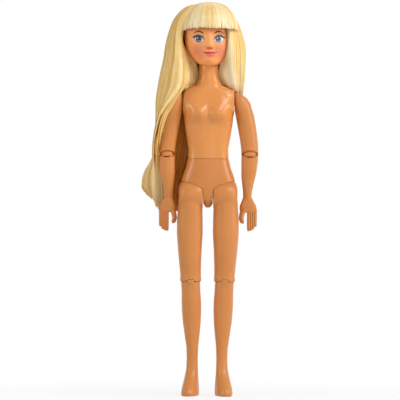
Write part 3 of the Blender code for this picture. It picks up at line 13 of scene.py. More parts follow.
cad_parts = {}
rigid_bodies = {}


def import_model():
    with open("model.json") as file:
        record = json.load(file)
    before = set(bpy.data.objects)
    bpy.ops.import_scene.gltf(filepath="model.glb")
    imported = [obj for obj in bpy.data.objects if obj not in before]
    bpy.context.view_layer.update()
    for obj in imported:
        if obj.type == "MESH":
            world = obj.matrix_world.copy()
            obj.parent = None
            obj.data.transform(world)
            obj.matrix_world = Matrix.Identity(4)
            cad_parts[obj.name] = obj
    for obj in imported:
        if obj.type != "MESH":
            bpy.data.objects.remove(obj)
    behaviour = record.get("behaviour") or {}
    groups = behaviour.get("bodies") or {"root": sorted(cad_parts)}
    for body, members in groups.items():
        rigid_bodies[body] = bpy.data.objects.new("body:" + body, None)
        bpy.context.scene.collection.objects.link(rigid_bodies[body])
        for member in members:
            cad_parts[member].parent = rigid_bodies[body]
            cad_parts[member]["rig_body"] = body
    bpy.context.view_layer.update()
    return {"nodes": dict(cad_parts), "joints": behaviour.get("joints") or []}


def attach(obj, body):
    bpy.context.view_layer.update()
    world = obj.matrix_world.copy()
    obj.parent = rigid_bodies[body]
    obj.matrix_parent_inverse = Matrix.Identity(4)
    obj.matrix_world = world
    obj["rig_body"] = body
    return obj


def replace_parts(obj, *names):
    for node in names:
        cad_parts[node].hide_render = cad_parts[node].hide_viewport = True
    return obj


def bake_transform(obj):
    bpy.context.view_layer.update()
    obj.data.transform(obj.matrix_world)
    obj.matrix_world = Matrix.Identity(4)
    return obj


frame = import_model()
NODES = frame["nodes"]
PLACES = {j["name"]: Vector(j["pos_m"]) for j in frame["joints"]}
# The doll's own axis runs upright through the neck
NECK = PLACES["head_turn"]
FACE_TURN = math.radians(3.0)
MM = 0.001
rng = random.Random(4)


def at(x, y, z):
    """A point given in millimetres from the doll's own axis and the floor."""
    return Vector((NECK.x + x * MM, NECK.y + y * MM, z * MM))


def srgb(r, g, b):
    """A colour as it is seen on a screen, as Blender's linear values."""
    return tuple(
        c / 12.92 if c <= 0.04045 else ((c + 0.055) / 1.055) ** 2.4 for c in (r, g, b)
    ) + (1.0,)


def between(a, b, c, d, u):
    """The place a share u of the way from b to c, on a Catmull-Rom curve through all four."""
    return 0.5 * (
        2 * b + (c - a) * u + (2 * a - 5 * b + 4 * c - d) * u * u + (3 * b - a - 3 * c + d) * u**3
    )


def smooth_columns(rows, steps):
    """Rows of numbers with steps between each two, on smooth curves through them."""
    table = np.array(rows, float)
    ends = np.vstack([2 * table[0] - table[1], table, 2 * table[-1] - table[-2]])
    found = [
        between(*ends[i : i + 4], k / steps) for i in range(len(table) - 1) for k in range(steps)
    ]
    found.append(table[-1])
    return np.array(found)


def ring_face(r, i, sides):
    """The face from place i of ring r of points to the next place and the next ring."""
    a, b, j = r * sides, (r + 1) * sides, (i + 1) % sides
    return a + i, a + j, b + j, b + i


def new_object(name, points, faces, material, body=None, smooth=True):
    """A mesh object of one material that rides a body, if one is given."""
    mesh = bpy.data.meshes.new(name)
    mesh.from_pydata([tuple(p) for p in points], [], faces)
    mesh.materials.append(material)
    mesh.polygons.foreach_set("use_smooth", [smooth] * len(mesh.polygons))
    mesh.update()
    made = bpy.data.objects.new(name, mesh)
    bpy.context.scene.collection.objects.link(made)
    if body:
        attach(made, body)
    return made


# Materials

# Values of a noise pattern lie mostly between these
NOISE_LOW, NOISE_HIGH = 0.3, 0.7
# Sockets of the Mix node in its colour mode
MIX_FACTOR, MIX_FIRST, MIX_SECOND, MIX_RESULT = 0, 6, 7, 2


class Shader:
    """One Principled material with small helpers for its nodes."""

    def __init__(self, name, **values):
        self.material = bpy.data.materials.new(name)
        self.material.use_nodes = True
        self.tree = self.material.node_tree
        self.principled = self.tree.nodes["Principled BSDF"]
        for socket, value in values.items():
            self.principled.inputs[socket.replace("_", " ")].default_value = value
        self.coords = self.tree.nodes.new("ShaderNodeTexCoord").outputs["Object"]

    def node(self, kind, **settings):
        made = self.tree.nodes.new("ShaderNode" + kind)
        for name, value in settings.items():
            setattr(made, name, value)
        return made

    def link(self, output, target):
        self.tree.links.new(output, target)

    def noise(self, scale, detail=3.0, stretch=None):
        """A noise pattern in the object's own space, its scale in marks a metre."""
        source = self.coords
        if stretch:
            mapping = self.node("Mapping")
            mapping.inputs["Scale"].default_value = stretch
            self.link(source, mapping.inputs["Vector"])
            source = mapping.outputs["Vector"]
        made = self.node("TexNoise")
        made.inputs["Scale"].default_value = scale
        made.inputs["Detail"].default_value = detail
        self.link(source, made.inputs["Vector"])
        return made.outputs["Fac"]

    def ramp(self, factor, stops):
        """Colours at their places along a factor."""
        made = self.node("ValToRGB")
        elements = made.color_ramp.elements
        while len(elements) < len(stops):
            elements.new(0.5)
        for element, (place, colour) in zip(elements, stops):
            element.position = place
            element.color = colour
        self.link(factor, made.inputs["Fac"])
        return made.outputs["Color"]

    def mottle(self, factor, low, high):
        """A colour that wanders between two with a noise pattern."""
        return self.ramp(factor, [(NOISE_LOW, low), (NOISE_HIGH, high)])

    def spread(self, factor, low, high):
        """A value that wanders between two with a noise pattern."""
        made = self.node("MapRange")
        made.inputs["From Min"].default_value = NOISE_LOW
        made.inputs["From Max"].default_value = NOISE_HIGH
        made.inputs["To Min"].default_value = low
        made.inputs["To Max"].default_value = high
        self.link(factor, made.inputs["Value"])
        return made.outputs["Result"]

    def mix(self, factor, first, second):
        """The first colour where the factor is nothing, and the second where it is one."""
        made = self.node("Mix", data_type="RGBA")
        for value, index in ((factor, MIX_FACTOR), (first, MIX_FIRST), (second, MIX_SECOND)):
            if isinstance(value, (float, tuple)):
                made.inputs[index].default_value = value
            else:
                self.link(value, made.inputs[index])
        return made.outputs[MIX_RESULT]

    def colour(self, output):
        self.link(output, self.principled.inputs["Base Color"])

    def roughness(self, output):
        self.link(output, self.principled.inputs["Roughness"])

    def bump(self, height, strength, distance):
        """Fine relief of the surface from a pattern, in metres."""
        made = self.node("Bump")
        made.inputs["Strength"].default_value = strength
        made.inputs["Distance"].default_value = distance
        self.link(height, made.inputs["Height"])
        self.link(made.outputs["Normal"], self.principled.inputs["Normal"])

    def spot(self, centre, radius, squeeze=(1.0, 1.0, 1.0)):
        """One at a centre and nothing beyond the radius, fading between."""
        offset = self.node("VectorMath", operation="SUBTRACT")
        self.link(self.coords, offset.inputs[0])
        offset.inputs[1].default_value = centre
        shaped = self.node("VectorMath", operation="MULTIPLY")
        self.link(offset.outputs[0], shaped.inputs[0])
        shaped.inputs[1].default_value = squeeze
        length = self.node("VectorMath", operation="LENGTH")
        self.link(shaped.outputs[0], length.inputs[0])
        fade = self.node("MapRange", interpolation_type="SMOOTHSTEP")
        fade.inputs["From Min"].default_value = radius
        fade.inputs["From Max"].default_value = 0.0
        self.link(length.outputs["Value"], fade.inputs["Value"])
        return fade.outputs["Result"]


# Marks a metre in the skin's colour, gloss and grain, and the grain's strength and depth
SKIN_MOTTLES, SKIN_GLOSS, SKIN_GRAIN = 45, 300, 2600
GRAIN_STRENGTH, GRAIN_DEPTH = 0.05, 0.00003


def skin(name, low, high, rough):
    """Moulded skin-coloured plastic: faint mottling, fine grain and uneven gloss."""
    shader = Shader(name, IOR=1.47, Specular_IOR_Level=0.42)
    shader.mottled = shader.mottle(shader.noise(SKIN_MOTTLES, 2.0), low, high)
    shader.colour(shader.mottled)
    shader.roughness(shader.spread(shader.noise(SKIN_GLOSS, 3.0), *rough))
    shader.bump(shader.noise(SKIN_GRAIN, 2.0), GRAIN_STRENGTH, GRAIN_DEPTH)
    return shader


BODY_SKIN = skin(
    "body_plastic", srgb(0.87, 0.565, 0.29), srgb(0.89, 0.585, 0.31), (0.22, 0.30)
)
HIP_SKIN = skin(
    "pelvis_plastic", srgb(0.80, 0.505, 0.25), srgb(0.82, 0.525, 0.27), (0.26, 0.34)
)
LIMB_SKIN = skin(
    "limb_vinyl", srgb(0.81, 0.515, 0.26), srgb(0.83, 0.535, 0.28), (0.32, 0.42)
)
FACE_SKIN = skin(
    "face_vinyl", srgb(0.965, 0.635, 0.37), srgb(0.975, 0.655, 0.39), (0.38, 0.48)
)
INNER = skin("inner_plastic", srgb(0.80, 0.66, 0.52), srgb(0.86, 0.72, 0.58), (0.40, 0.52))
STEEL = Shader("pin_steel", Metallic=1.0)
STEEL_MARKS = STEEL.noise(900, 3.0, (1, 8, 8))
STEEL.colour(STEEL.mottle(STEEL_MARKS, srgb(0.62, 0.62, 0.64), srgb(0.8, 0.8, 0.81)))
STEEL.roughness(STEEL.spread(STEEL.noise(1800, 3.0, (1, 10, 10)), 0.22, 0.40))


# Body

# Edges bent by less than this are shaded round
SOFT_EDGE = math.radians(38)
MERGE_DISTANCE = 2e-6

# The part of the torso's front that carries the bust, in metres: half its width, its heights,
# and how far its faces lie before the axis; they face forward by at least this
BUST_HALF, BUST_LOW, BUST_HIGH, BUST_BEFORE = 0.0185, 0.194, 0.226, 0.003
FACING = -0.1
# The relief in millimetres: the height of its fullest place, how far it rises there, and how
# far it reaches above, below and sideways, where it fades over a strip
BUST_FRONT, BUST_RISE = 205.6, 1.8
BUST_ABOVE, BUST_BELOW = 17.0, 7.4
BUST_SIDE, SIDE_FADE = 17.0, 6.0
# The valley between: the share of the rise it takes, its width, its top, and its fade there
VALLEY_SHARE, VALLEY_WIDTH, VALLEY_TOP, VALLEY_FADE = 0.85, 2.3, 220.0, 9.0


def eased(share):
    """A share from nothing to one, with soft ends."""
    return share * share * (3 - 2 * share)


def model_bust(made):
    """The bust's two rounded forms on the front of the torso, finer than the solid's."""
    near = [
        face
        for face in made.faces
        if face.normal.y < FACING
        and abs(face.calc_center_median().x - NECK.x) < BUST_HALF
        and BUST_LOW < face.calc_center_median().z < BUST_HIGH
        and face.calc_center_median().y < NECK.y - BUST_BEFORE
    ]
    edges = list({edge for face in near for edge in face.edges})
    bmesh.ops.subdivide_edges(made, edges=edges, cuts=4, use_grid_fill=True)
    made.normal_update()
    for vert in made.verts:
        if vert.normal.y > FACING or vert.co.y > NECK.y - BUST_BEFORE:
            continue
        x, z = abs(vert.co.x - NECK.x) / MM, vert.co.z / MM
        span = BUST_ABOVE if z > BUST_FRONT else BUST_BELOW
        up = eased(max(0.0, 1.0 - abs(z - BUST_FRONT) / span))
        out = eased(min(1.0, max(0.0, (BUST_SIDE - x) / SIDE_FADE)))
        below_top = min(1.0, max(0.0, (VALLEY_TOP - z) / VALLEY_FADE))
        valley = VALLEY_SHARE * math.exp(-((x / VALLEY_WIDTH) ** 2)) * below_top
        vert.co.y -= BUST_RISE * up * out * (1.0 - valley) * MM


def smooth_copy(name, material):
    """A rigid node's own shape with rounded shading, so that its facets don't show."""
    node = NODES[name]
    mesh = bpy.data.meshes.new(name + "_smooth")
    made = bmesh.new()
    made.from_mesh(node.data)
    bmesh.ops.remove_doubles(made, verts=made.verts, dist=MERGE_DISTANCE)
    if name == "torso_front":
        model_bust(made)
    for face in made.faces:
        face.smooth = True
    for edge in made.edges:
        edge.smooth = len(edge.link_faces) == 2 and edge.calc_face_angle(0.0) < SOFT_EDGE
    made.to_mesh(mesh)
    made.free()
    mesh.materials.clear()
    mesh.materials.append(material)
    copy = bpy.data.objects.new(name + "_smooth", mesh)
    bpy.context.scene.collection.objects.link(copy)
    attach(copy, node["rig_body"])
    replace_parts(copy, name)


for name, node in NODES.items():
    node.data.materials.clear()
    if "pin" in name or name == "hip_axle":
        node.data.materials.append(STEEL.material)
    elif name in ("neck_post", "waist_spool") or "peg" in name:
        node.data.materials.append(INNER.material)
    else:
        finish = {"torso": BODY_SKIN, "pelvis": HIP_SKIN}.get(name.split("_")[0], LIMB_SKIN)
        node.data.materials.append(finish.material)
        if "hair" not in name and name != "head":
            smooth_copy(name, finish.material)


LIP_STEPS = 48


def seam_lip(name, body, centre, outer, inner, heights, turn, finish):
    """A thin moulded lip that closes a seam to the light, part or all of the way round.

    Its outer reach is given sideways, to the front and to the back, and all in millimetres.
    """
    low, high = heights
    start, end = turn
    whole = end - start >= 360
    steps = LIP_STEPS if whole else LIP_STEPS + 1
    points, faces = [], []
    for k in range(steps):
        angle = math.radians(start + (end - start) * k / LIP_STEPS)
        across, along = math.cos(angle), math.sin(angle)
        far = (outer[0] * across, outer[1 if along < 0 else 2] * along)
        near = (inner * across, inner * along)
        for (x, y), z in ((near, low), (far, low), (far, high), (near, high)):
            points.append((centre[0] + x * MM, centre[1] + y * MM, z * MM))
    for k in range(LIP_STEPS):
        a, b = 4 * k, 4 * ((k + 1) % steps)
        for i in range(4):
            j = (i + 1) % 4
            faces.append((a + i, a + j, b + j, b + i))
    if not whole:
        last = 4 * (steps - 1)
        faces += [(3, 2, 1, 0), (last, last + 1, last + 2, last + 3)]
    lip = new_object(name, points, faces, finish.material, body, smooth=False)


ROD_SIDES = 8


def knee_lip(name, body, centre, reach, radius):
    """A fine rod along a knee's axis that closes its seam to the light."""
    points = []
    for x in (-reach, reach):
        for i in range(ROD_SIDES):
            angle = 2 * math.pi * i / ROD_SIDES
            y, z = radius * math.cos(angle) * MM, radius * math.sin(angle) * MM
            points.append((centre[0] + x * MM, centre[1] + y, centre[2] + z))
    faces = [ring_face(0, i, ROD_SIDES) for i in range(ROD_SIDES)]
    faces += [tuple(reversed(range(ROD_SIDES))), tuple(range(ROD_SIDES, 2 * ROD_SIDES))]
    rod = new_object(name, points, faces, LIMB_SKIN.material, body, smooth=False)


seam_lip(
    "waist_lip",
    "torso",
    NECK,
    outer=(14.6, 8.2, 7.8),
    inner=6.7,
    heights=(174.80, 175.10),
    turn=(0, 360),
    finish=BODY_SKIN,
)
for word in ("left", "right"):
    seam_lip(
        f"elbow_lip_{word}",
        f"upper_arm_{word}",
        PLACES[f"elbow_{word}_twist"],
        outer=(5.95, 5.9, 5.9),
        inner=5.5,
        heights=(178.0, 178.3),
        turn=(3, 177),
        finish=LIMB_SKIN,
    )
for word in ("left", "right"):
    knee = PLACES[f"knee_{word}_bend"]
    knee_lip(f"knee_lip_{word}", f"thigh_{word}", knee, reach=7.0, radius=0.22)


# Head and face

# The head leans a little to its right above the chin
LEAN_SLOPE, LEAN_FROM = 0.045, 0.246
LEAN = Matrix(
    ((1, 0, -LEAN_SLOPE, LEAN_SLOPE * LEAN_FROM), (0, 1, 0, 0), (0, 0, 1, 0), (0, 0, 0, 1))
)
TURN = (
    Matrix.Translation(Vector((NECK.x, NECK.y, 0.0)))
    @ Matrix.Rotation(FACE_TURN, 4, "Z")
    @ LEAN
)

# Rings of the head: height, half width, front and back reach, in millimetres
HEAD_ROWS = [
    (244.0, 6.9, 11.8, 8.2),
    (246.0, 9.4, 13.9, 9.6),
    (250.1, 12.9, 15.1, 13.2),
    (254.4, 15.5, 15.7, 16.0),
    (258.4, 16.8, 15.8, 18.0),
    (264.3, 17.4, 15.7, 19.2),
    (270.2, 17.2, 15.7, 19.6),
    (276.1, 16.0, 14.6, 18.5),
    (281.2, 12.9, 11.4, 15.5),
    (284.6, 8.0, 6.8, 10.5),
    (286.2, 2.2, 0.9, 4.6),
]
# Bumps of the face: sideways, height, width, height spread and rise, in millimetres
FACE_BUMPS = [
    (0.0, 264.5, 2.0, 4.2, 1.0),
    (0.0, 260.0, 1.7, 2.6, 1.0),
    (0.0, 257.7, 1.9, 1.7, 2.0),
    (1.7, 257.1, 1.1, 1.0, 0.6),
    (-1.7, 257.1, 1.1, 1.0, 0.6),
    (0.0, 253.4, 3.6, 1.0, 1.0),
    (0.0, 251.0, 2.8, 1.1, 1.1),
    (0.0, 252.35, 4.6, 0.32, -0.5),
    (4.9, 252.8, 1.0, 1.0, -0.4),
    (-4.9, 252.8, 1.0, 1.0, -0.4),
    (0.0, 248.9, 3.2, 0.9, -0.4),
    (0.0, 246.6, 4.2, 2.4, 1.4),
    (8.2, 256.8, 4.4, 4.2, 0.6),
    (-8.2, 256.8, 4.4, 4.2, 0.6),
    (7.1, 264.2, 4.2, 2.8, -1.1),
    (-7.1, 264.2, 4.2, 2.8, -1.1),
    (7.0, 263.4, 3.2, 1.9, 0.6),
    (-7.0, 263.4, 3.2, 1.9, 0.6),
    (6.8, 268.3, 4.6, 1.5, 0.3),
    (-6.8, 268.3, 4.6, 1.5, 0.3),
]
# The relief fades out towards the sides over this depth
FACE_DEPTH = 9.5
# The middle of the chin is lowered: by how much, its width, its height and how high it reaches
CHIN_DROP, CHIN_WIDE, CHIN_HEIGHT, CHIN_HIGH = 0.6, 5.5, 244.5, 2.4


def face_point(x, y, z):
    """A point of the head, moved where the face has its relief."""
    if y < 0:
        facing = min(1.0, -y / FACE_DEPTH)
        for bx, bz, wide, high, rise in FACE_BUMPS:
            y -= facing * rise * math.exp(-(((x - bx) / wide) ** 2) - ((z - bz) / high) ** 2)
        middle = math.exp(-((x / CHIN_WIDE) ** 2) - ((z - CHIN_HEIGHT) / CHIN_HIGH) ** 2)
        z -= CHIN_DROP * facing * middle
    return x, y, z


HEAD_SIDES = 132
# Rings are rounder than a box by this power, and the hole for the neck has a radius and height
HEAD_SQUARENESS = 0.95
NECK_HOLE, NECK_HOLE_HEIGHT = 3.4, 244.0


def make_head():
    """The vinyl head, with its face in relief, closed at the crown and open at the neck."""
    sides = HEAD_SIDES
    rows = smooth_columns(HEAD_ROWS, 12)
    points, faces = [], []
    for z, wide, front, back in rows:
        for i in range(sides):
            angle = 2 * math.pi * i / sides
            across, along = math.cos(angle), math.sin(angle)
            reach = back if along > 0 else front
            x = math.copysign(abs(across) ** HEAD_SQUARENESS, across) * wide
            y = math.copysign(abs(along) ** HEAD_SQUARENESS, along) * reach
            points.append(Vector(face_point(x, y, z)) * MM)
    for r in range(len(rows) - 1):
        faces += [ring_face(r, i, sides) for i in range(sides)]
    top = (len(rows) - 1) * sides
    faces.append(tuple(top + i for i in range(sides)))
    rim = len(points)
    for i in range(sides):
        angle = 2 * math.pi * i / sides
        x, y = math.cos(angle) * NECK_HOLE, math.sin(angle) * NECK_HOLE
        points.append(Vector((x, y, NECK_HOLE_HEIGHT)) * MM)
        faces.append((i, rim + i, rim + (i + 1) % sides, (i + 1) % sides))
    return points, faces


HEAD_POINTS, HEAD_FACES = make_head()
HEAD_TREE = BVHTree.FromPolygons(HEAD_POINTS, HEAD_FACES)


def tinted(under, centre, radius, squeeze, share, colour):
    """The colour under it, with a soft spot of another over it, used both for sprayed blush and
    for painted shade.
    """
    spot = FACE_SKIN.spot(TURN @ Vector(centre), radius, squeeze)
    mask = FACE_SKIN.ramp(spot, [(0.0, (0, 0, 0, 1)), (1.0, (share, share, share, 1))])
    return FACE_SKIN.mix(mask, under, colour)


face_colour = FACE_SKIN.mottled
# Soft spots: blush sprayed on the cheeks, painted shade under the nose and in the nostrils, and a
# darker spot on the chin; each with centre, radius, squeeze, share and colour
for spot in (
    ((-0.0085, -0.0135, 0.2535), 0.0105, (1.0, 1.0, 1.0), 0.62, srgb(0.86, 0.44, 0.33)),
    ((0.0088, -0.0135, 0.2540), 0.0110, (1.0, 1.0, 1.0), 0.70, srgb(0.87, 0.47, 0.37)),
    # Painted shade under the nose, and in each nostril
    ((0.0, -0.0185, 0.2555), 0.0040, (1.0, 0.3, 1.9), 0.9, srgb(0.80, 0.34, 0.24)),
    ((-0.0013, -0.0180, 0.2556), 0.0015, (1.0, 0.3, 1.6), 0.9, srgb(0.62, 0.22, 0.15)),
    ((0.0013, -0.0180, 0.2556), 0.0015, (1.0, 0.3, 1.6), 0.9, srgb(0.62, 0.22, 0.15)),
    ((0.0, -0.0150, 0.2470), 0.0050, (0.8, 1.0, 1.3), 0.30, srgb(0.84, 0.42, 0.24)),
):
    face_colour = tinted(face_colour, *spot)
FACE_SKIN.colour(face_colour)
turned = [TURN @ p for p in HEAD_POINTS]
head = new_object("face_head", turned, HEAD_FACES, FACE_SKIN.material, "head")
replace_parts(head, "head")


def paint(name, low, high, rough=(0.28, 0.38)):
    """Face paint: a thin glossy film with a little unevenness from the spray mask."""
    shader = Shader("paint_" + name)
    shader.colour(shader.ramp(shader.noise(900, 3.0), [(0.35, low), (0.65, high)]))
    shader.roughness(shader.spread(shader.noise(1500, 2.0), *rough))
    return shader.material


PAINTS = {
    "white": paint("eye_white", srgb(0.78, 0.78, 0.77), srgb(0.87, 0.87, 0.86)),
    "iris_rim": paint("iris_rim", srgb(0.06, 0.10, 0.22), srgb(0.08, 0.13, 0.27)),
    "iris": paint("iris", srgb(0.09, 0.19, 0.36), srgb(0.13, 0.25, 0.43)),
    "iris_light": paint("iris_light", srgb(0.30, 0.48, 0.62), srgb(0.38, 0.56, 0.68)),
    "pupil": paint("pupil", srgb(0.03, 0.04, 0.09), srgb(0.05, 0.06, 0.12)),
    "lash": paint("lash", srgb(0.13, 0.07, 0.08), srgb(0.19, 0.10, 0.10)),
    "lid": paint("lid", srgb(0.66, 0.43, 0.46), srgb(0.72, 0.48, 0.50), (0.4, 0.5)),
    "brow": paint("brow", srgb(0.40, 0.18, 0.08), srgb(0.48, 0.23, 0.11)),
    "lip": paint("lip", srgb(0.80, 0.25, 0.24), srgb(0.85, 0.31, 0.29)),
    "lip_low": paint("lip_low", srgb(0.90, 0.43, 0.36), srgb(0.93, 0.49, 0.40)),
    "lip_line": paint("lip_line", srgb(0.62, 0.13, 0.14), srgb(0.68, 0.18, 0.17)),
}


# Rays towards the face start from this far in front of the axis, in metres
RAY_START = -0.05


def patch(name, low, high, lift, material, across=6):
    """A painted film between two curves of the face, given sideways and in height."""
    points, faces = [], []
    for (x0, z0), (x1, z1) in zip(low, high):
        for k in range(across + 1):
            u = k / across
            x, z = x0 + u * (x1 - x0), z0 + u * (z1 - z0)
            start = Vector((x * MM, RAY_START, z * MM))
            hit, normal, _, _ = HEAD_TREE.ray_cast(start, Vector((0, 1, 0)))
            lifted = lift * MM if normal.y < 0 else -lift * MM
            points.append(TURN @ (hit + normal * lifted))
    width = across + 1
    for r in range(len(low) - 1):
        for k in range(across):
            a = r * width + k
            faces.append((a, a + width, a + width + 1, a + 1))
    made = new_object(name, points, faces, PAINTS[material], "head")


DISC_STEPS = 20


def disc(name, x, z, wide, high, lift, material):
    """A round painted film, by its centre and its half width and height."""
    turns = [math.pi * k / DISC_STEPS for k in range(DISC_STEPS + 1)]
    low = [(x - wide * math.cos(a), z - high * math.sin(a)) for a in turns]
    top = [(x - wide * math.cos(a), z + high * math.sin(a)) for a in turns]
    patch(name, low, top, lift, material)


# The middle of an eye from the face's own middle, and how far both look to the doll's right
EYE_ACROSS, GAZE_SHIFT = 7.15, 0.35
# The painted rounds of an eye: name, shift, height, half width and height, lift and paint
ROUNDS = (
    ("iris_rim", 0.0, 262.35, 2.15, 1.95, 0.06, "iris_rim"),
    ("iris", 0.0, 262.2, 1.75, 1.6, 0.08, "iris"),
    ("iris_light", 0.1, 261.6, 1.15, 0.75, 0.10, "iris_light"),
    ("pupil", 0.0, 262.5, 0.95, 1.0, 0.12, "pupil"),
    # A painted highlight in the eye
    ("eye_glint", -0.65, 263.1, 0.42, 0.38, 0.16, "white"),
)
# How far each film lies off the vinyl, so that those painted later lie over the others
LID_LIFT, EYE_LINE_LIFT, WHITE_LIFT, UPPER_LASH_LIFT = 0.02, 0.03, 0.04, 0.14
LASH_LIFT, BROW_LIFT, LIP_LIFT, LIP_LINE_LIFT = 0.10, 0.05, 0.05, 0.09
# Lashes: the place of each root along the lid, and how far its tip leans outward
LASHES = ((4.4, -0.5), (5.7, -0.15), (7.2, 0.25), (8.7, 0.7), (10.1, 1.1), (11.3, 1.4))
# Their roots lie on an arch: its height, rise, start and span, and a fall from each to the next
LASH_ROOTS, LASH_ARCH, LASH_FROM, LASH_SPAN, LASH_FALL = 264.0, 0.9, 3.4, 8.6, 0.05


for side, word in ((1, "left"), (-1, "right")):

    def mirrored(points, steps=8):
        """A curve through points of the left half of the face, on this side of it."""
        return smooth_columns([(side * x, z) for x, z in points], steps)

    lower = mirrored([(3.6, 261.7), (5.1, 260.7), (7.2, 260.3), (9.2, 260.9), (10.9, 262.7)])
    upper = mirrored([(3.6, 261.7), (4.9, 263.3), (7.0, 264.2), (9.2, 264.0), (10.9, 262.7)])
    lid_top = mirrored([(3.2, 262.1), (4.7, 264.6), (7.1, 266.0), (9.7, 265.5), (12.0, 263.6)])
    lash_top = mirrored([(3.2, 261.9), (4.7, 264.1), (7.0, 265.3), (9.5, 265.2), (12.1, 264.0)])
    line_low = mirrored([(3.9, 261.3), (5.1, 260.5), (7.2, 260.05), (9.3, 260.6), (11.2, 262.5)])
    patch(f"eye_lid_{word}", upper, lid_top, LID_LIFT, "lid")
    patch(f"eye_line_{word}", line_low, lower, EYE_LINE_LIFT, "brow", 2)
    patch(f"eye_white_{word}", lower, upper, WHITE_LIFT, "white")
    gaze = side * EYE_ACROSS - GAZE_SHIFT
    for name, shift, z, wide, high, lift, colour in ROUNDS:
        disc(f"{name}_{word}", gaze + shift, z, wide, high, lift, colour)
    patch(f"upper_lash_{word}", upper, lash_top, UPPER_LASH_LIFT, "lash", 4)
    for k, (x, lean) in enumerate(LASHES):
        arch = math.sin((x - LASH_FROM) / LASH_SPAN * math.pi)
        z = LASH_ROOTS + LASH_ARCH * arch - LASH_FALL * k
        bend = x + lean * 0.5
        tip = z + 1.05
        low = mirrored([(x - 0.3, z - 0.3), (bend - 0.1, z + 0.5), (x + lean, tip)], 4)
        high = mirrored([(x + 0.3, z - 0.3), (bend + 0.14, z + 0.45), (x + lean + 0.05, tip)], 4)
        patch(f"lash_{k}_{word}", low, high, LASH_LIFT, "lash", 1)
    brow_low = mirrored([(4.0, 266.3), (5.6, 267.1), (7.7, 267.6), (9.8, 267.2), (11.6, 266.2)], 6)
    brow_top = mirrored([(4.1, 267.3), (5.6, 268.4), (7.7, 268.8), (9.8, 268.1), (11.6, 266.3)], 6)
    patch(f"brow_{word}", brow_low, brow_top, BROW_LIFT, "brow", 3)


# The line between the lips and the lips' outer edges, from the doll's right to its left
LIP_LINE = [
    (-4.6, 252.75), (-2.7, 252.0), (-0.8, 251.65), (0.5, 251.7), (1.8, 251.65), (3.7, 252.0),
    (5.6, 252.75),
]
LIP_TOP = [
    (-4.6, 252.8), (-2.7, 252.95), (-0.8, 253.35), (0.5, 253.0), (1.8, 253.35), (3.7, 252.95),
    (5.6, 252.8),
]
LIP_LOW = [
    (-4.6, 252.7), (-2.7, 250.9), (-0.8, 249.8), (0.5, 249.6), (1.8, 249.8), (3.7, 250.9),
    (5.6, 252.7),
]
closed = smooth_columns(LIP_LINE, 6)
patch("lip_upper", closed, smooth_columns(LIP_TOP, 6), LIP_LIFT, "lip")
patch("lip_lower", smooth_columns(LIP_LOW, 6), closed, LIP_LIFT, "lip_low")
line_low = smooth_columns([(x, z - 0.13) for x, z in LIP_LINE], 6)
line_top = smooth_columns([(x, z + 0.10) for x, z in LIP_LINE], 6)
patch("lip_line", line_low, line_top, LIP_LINE_LIFT, "lip_line", 2)


# Hair

HAIR = Shader("hair_fibre", Specular_IOR_Level=0.4, IOR=1.5)
HAIR_SHADE = HAIR.node("Attribute", attribute_name="shade").outputs["Fac"]
HAIR_STREAK = HAIR.noise(1600, 2.0, (1.0, 1.0, 0.04))
HAIR_MIX = HAIR.node("Math", operation="MULTIPLY_ADD")
HAIR.link(HAIR_STREAK, HAIR_MIX.inputs[0])
HAIR_MIX.inputs[1].default_value = 0.5
HAIR.link(HAIR_SHADE, HAIR_MIX.inputs[2])
HAIR.colour(
    HAIR.ramp(
        HAIR_MIX.outputs[0],
        [
            (0.00, srgb(0.88, 0.48, 0.06)),
            (0.12, srgb(0.88, 0.53, 0.12)),
            (0.40, srgb(0.92, 0.69, 0.31)),
            (0.70, srgb(0.95, 0.81, 0.51)),
            (1.00, srgb(0.98, 0.92, 0.76)),
        ],
    )
)
HAIR.roughness(HAIR.spread(HAIR.noise(700, 2.0, (1.0, 1.0, 0.1)), 0.30, 0.46))
HAIR.bump(HAIR.noise(5200, 2.0, (1.0, 1.0, 0.03)), 0.35, 0.00008)

# Heights of the guides' places, in millimetres above the floor
LEVELS = [
    289.3, 287.6, 284, 277, 268, 258, 248, 238, 228, 218, 208, 196, 184, 174, 165, 157, 148, 140,
    135,
]
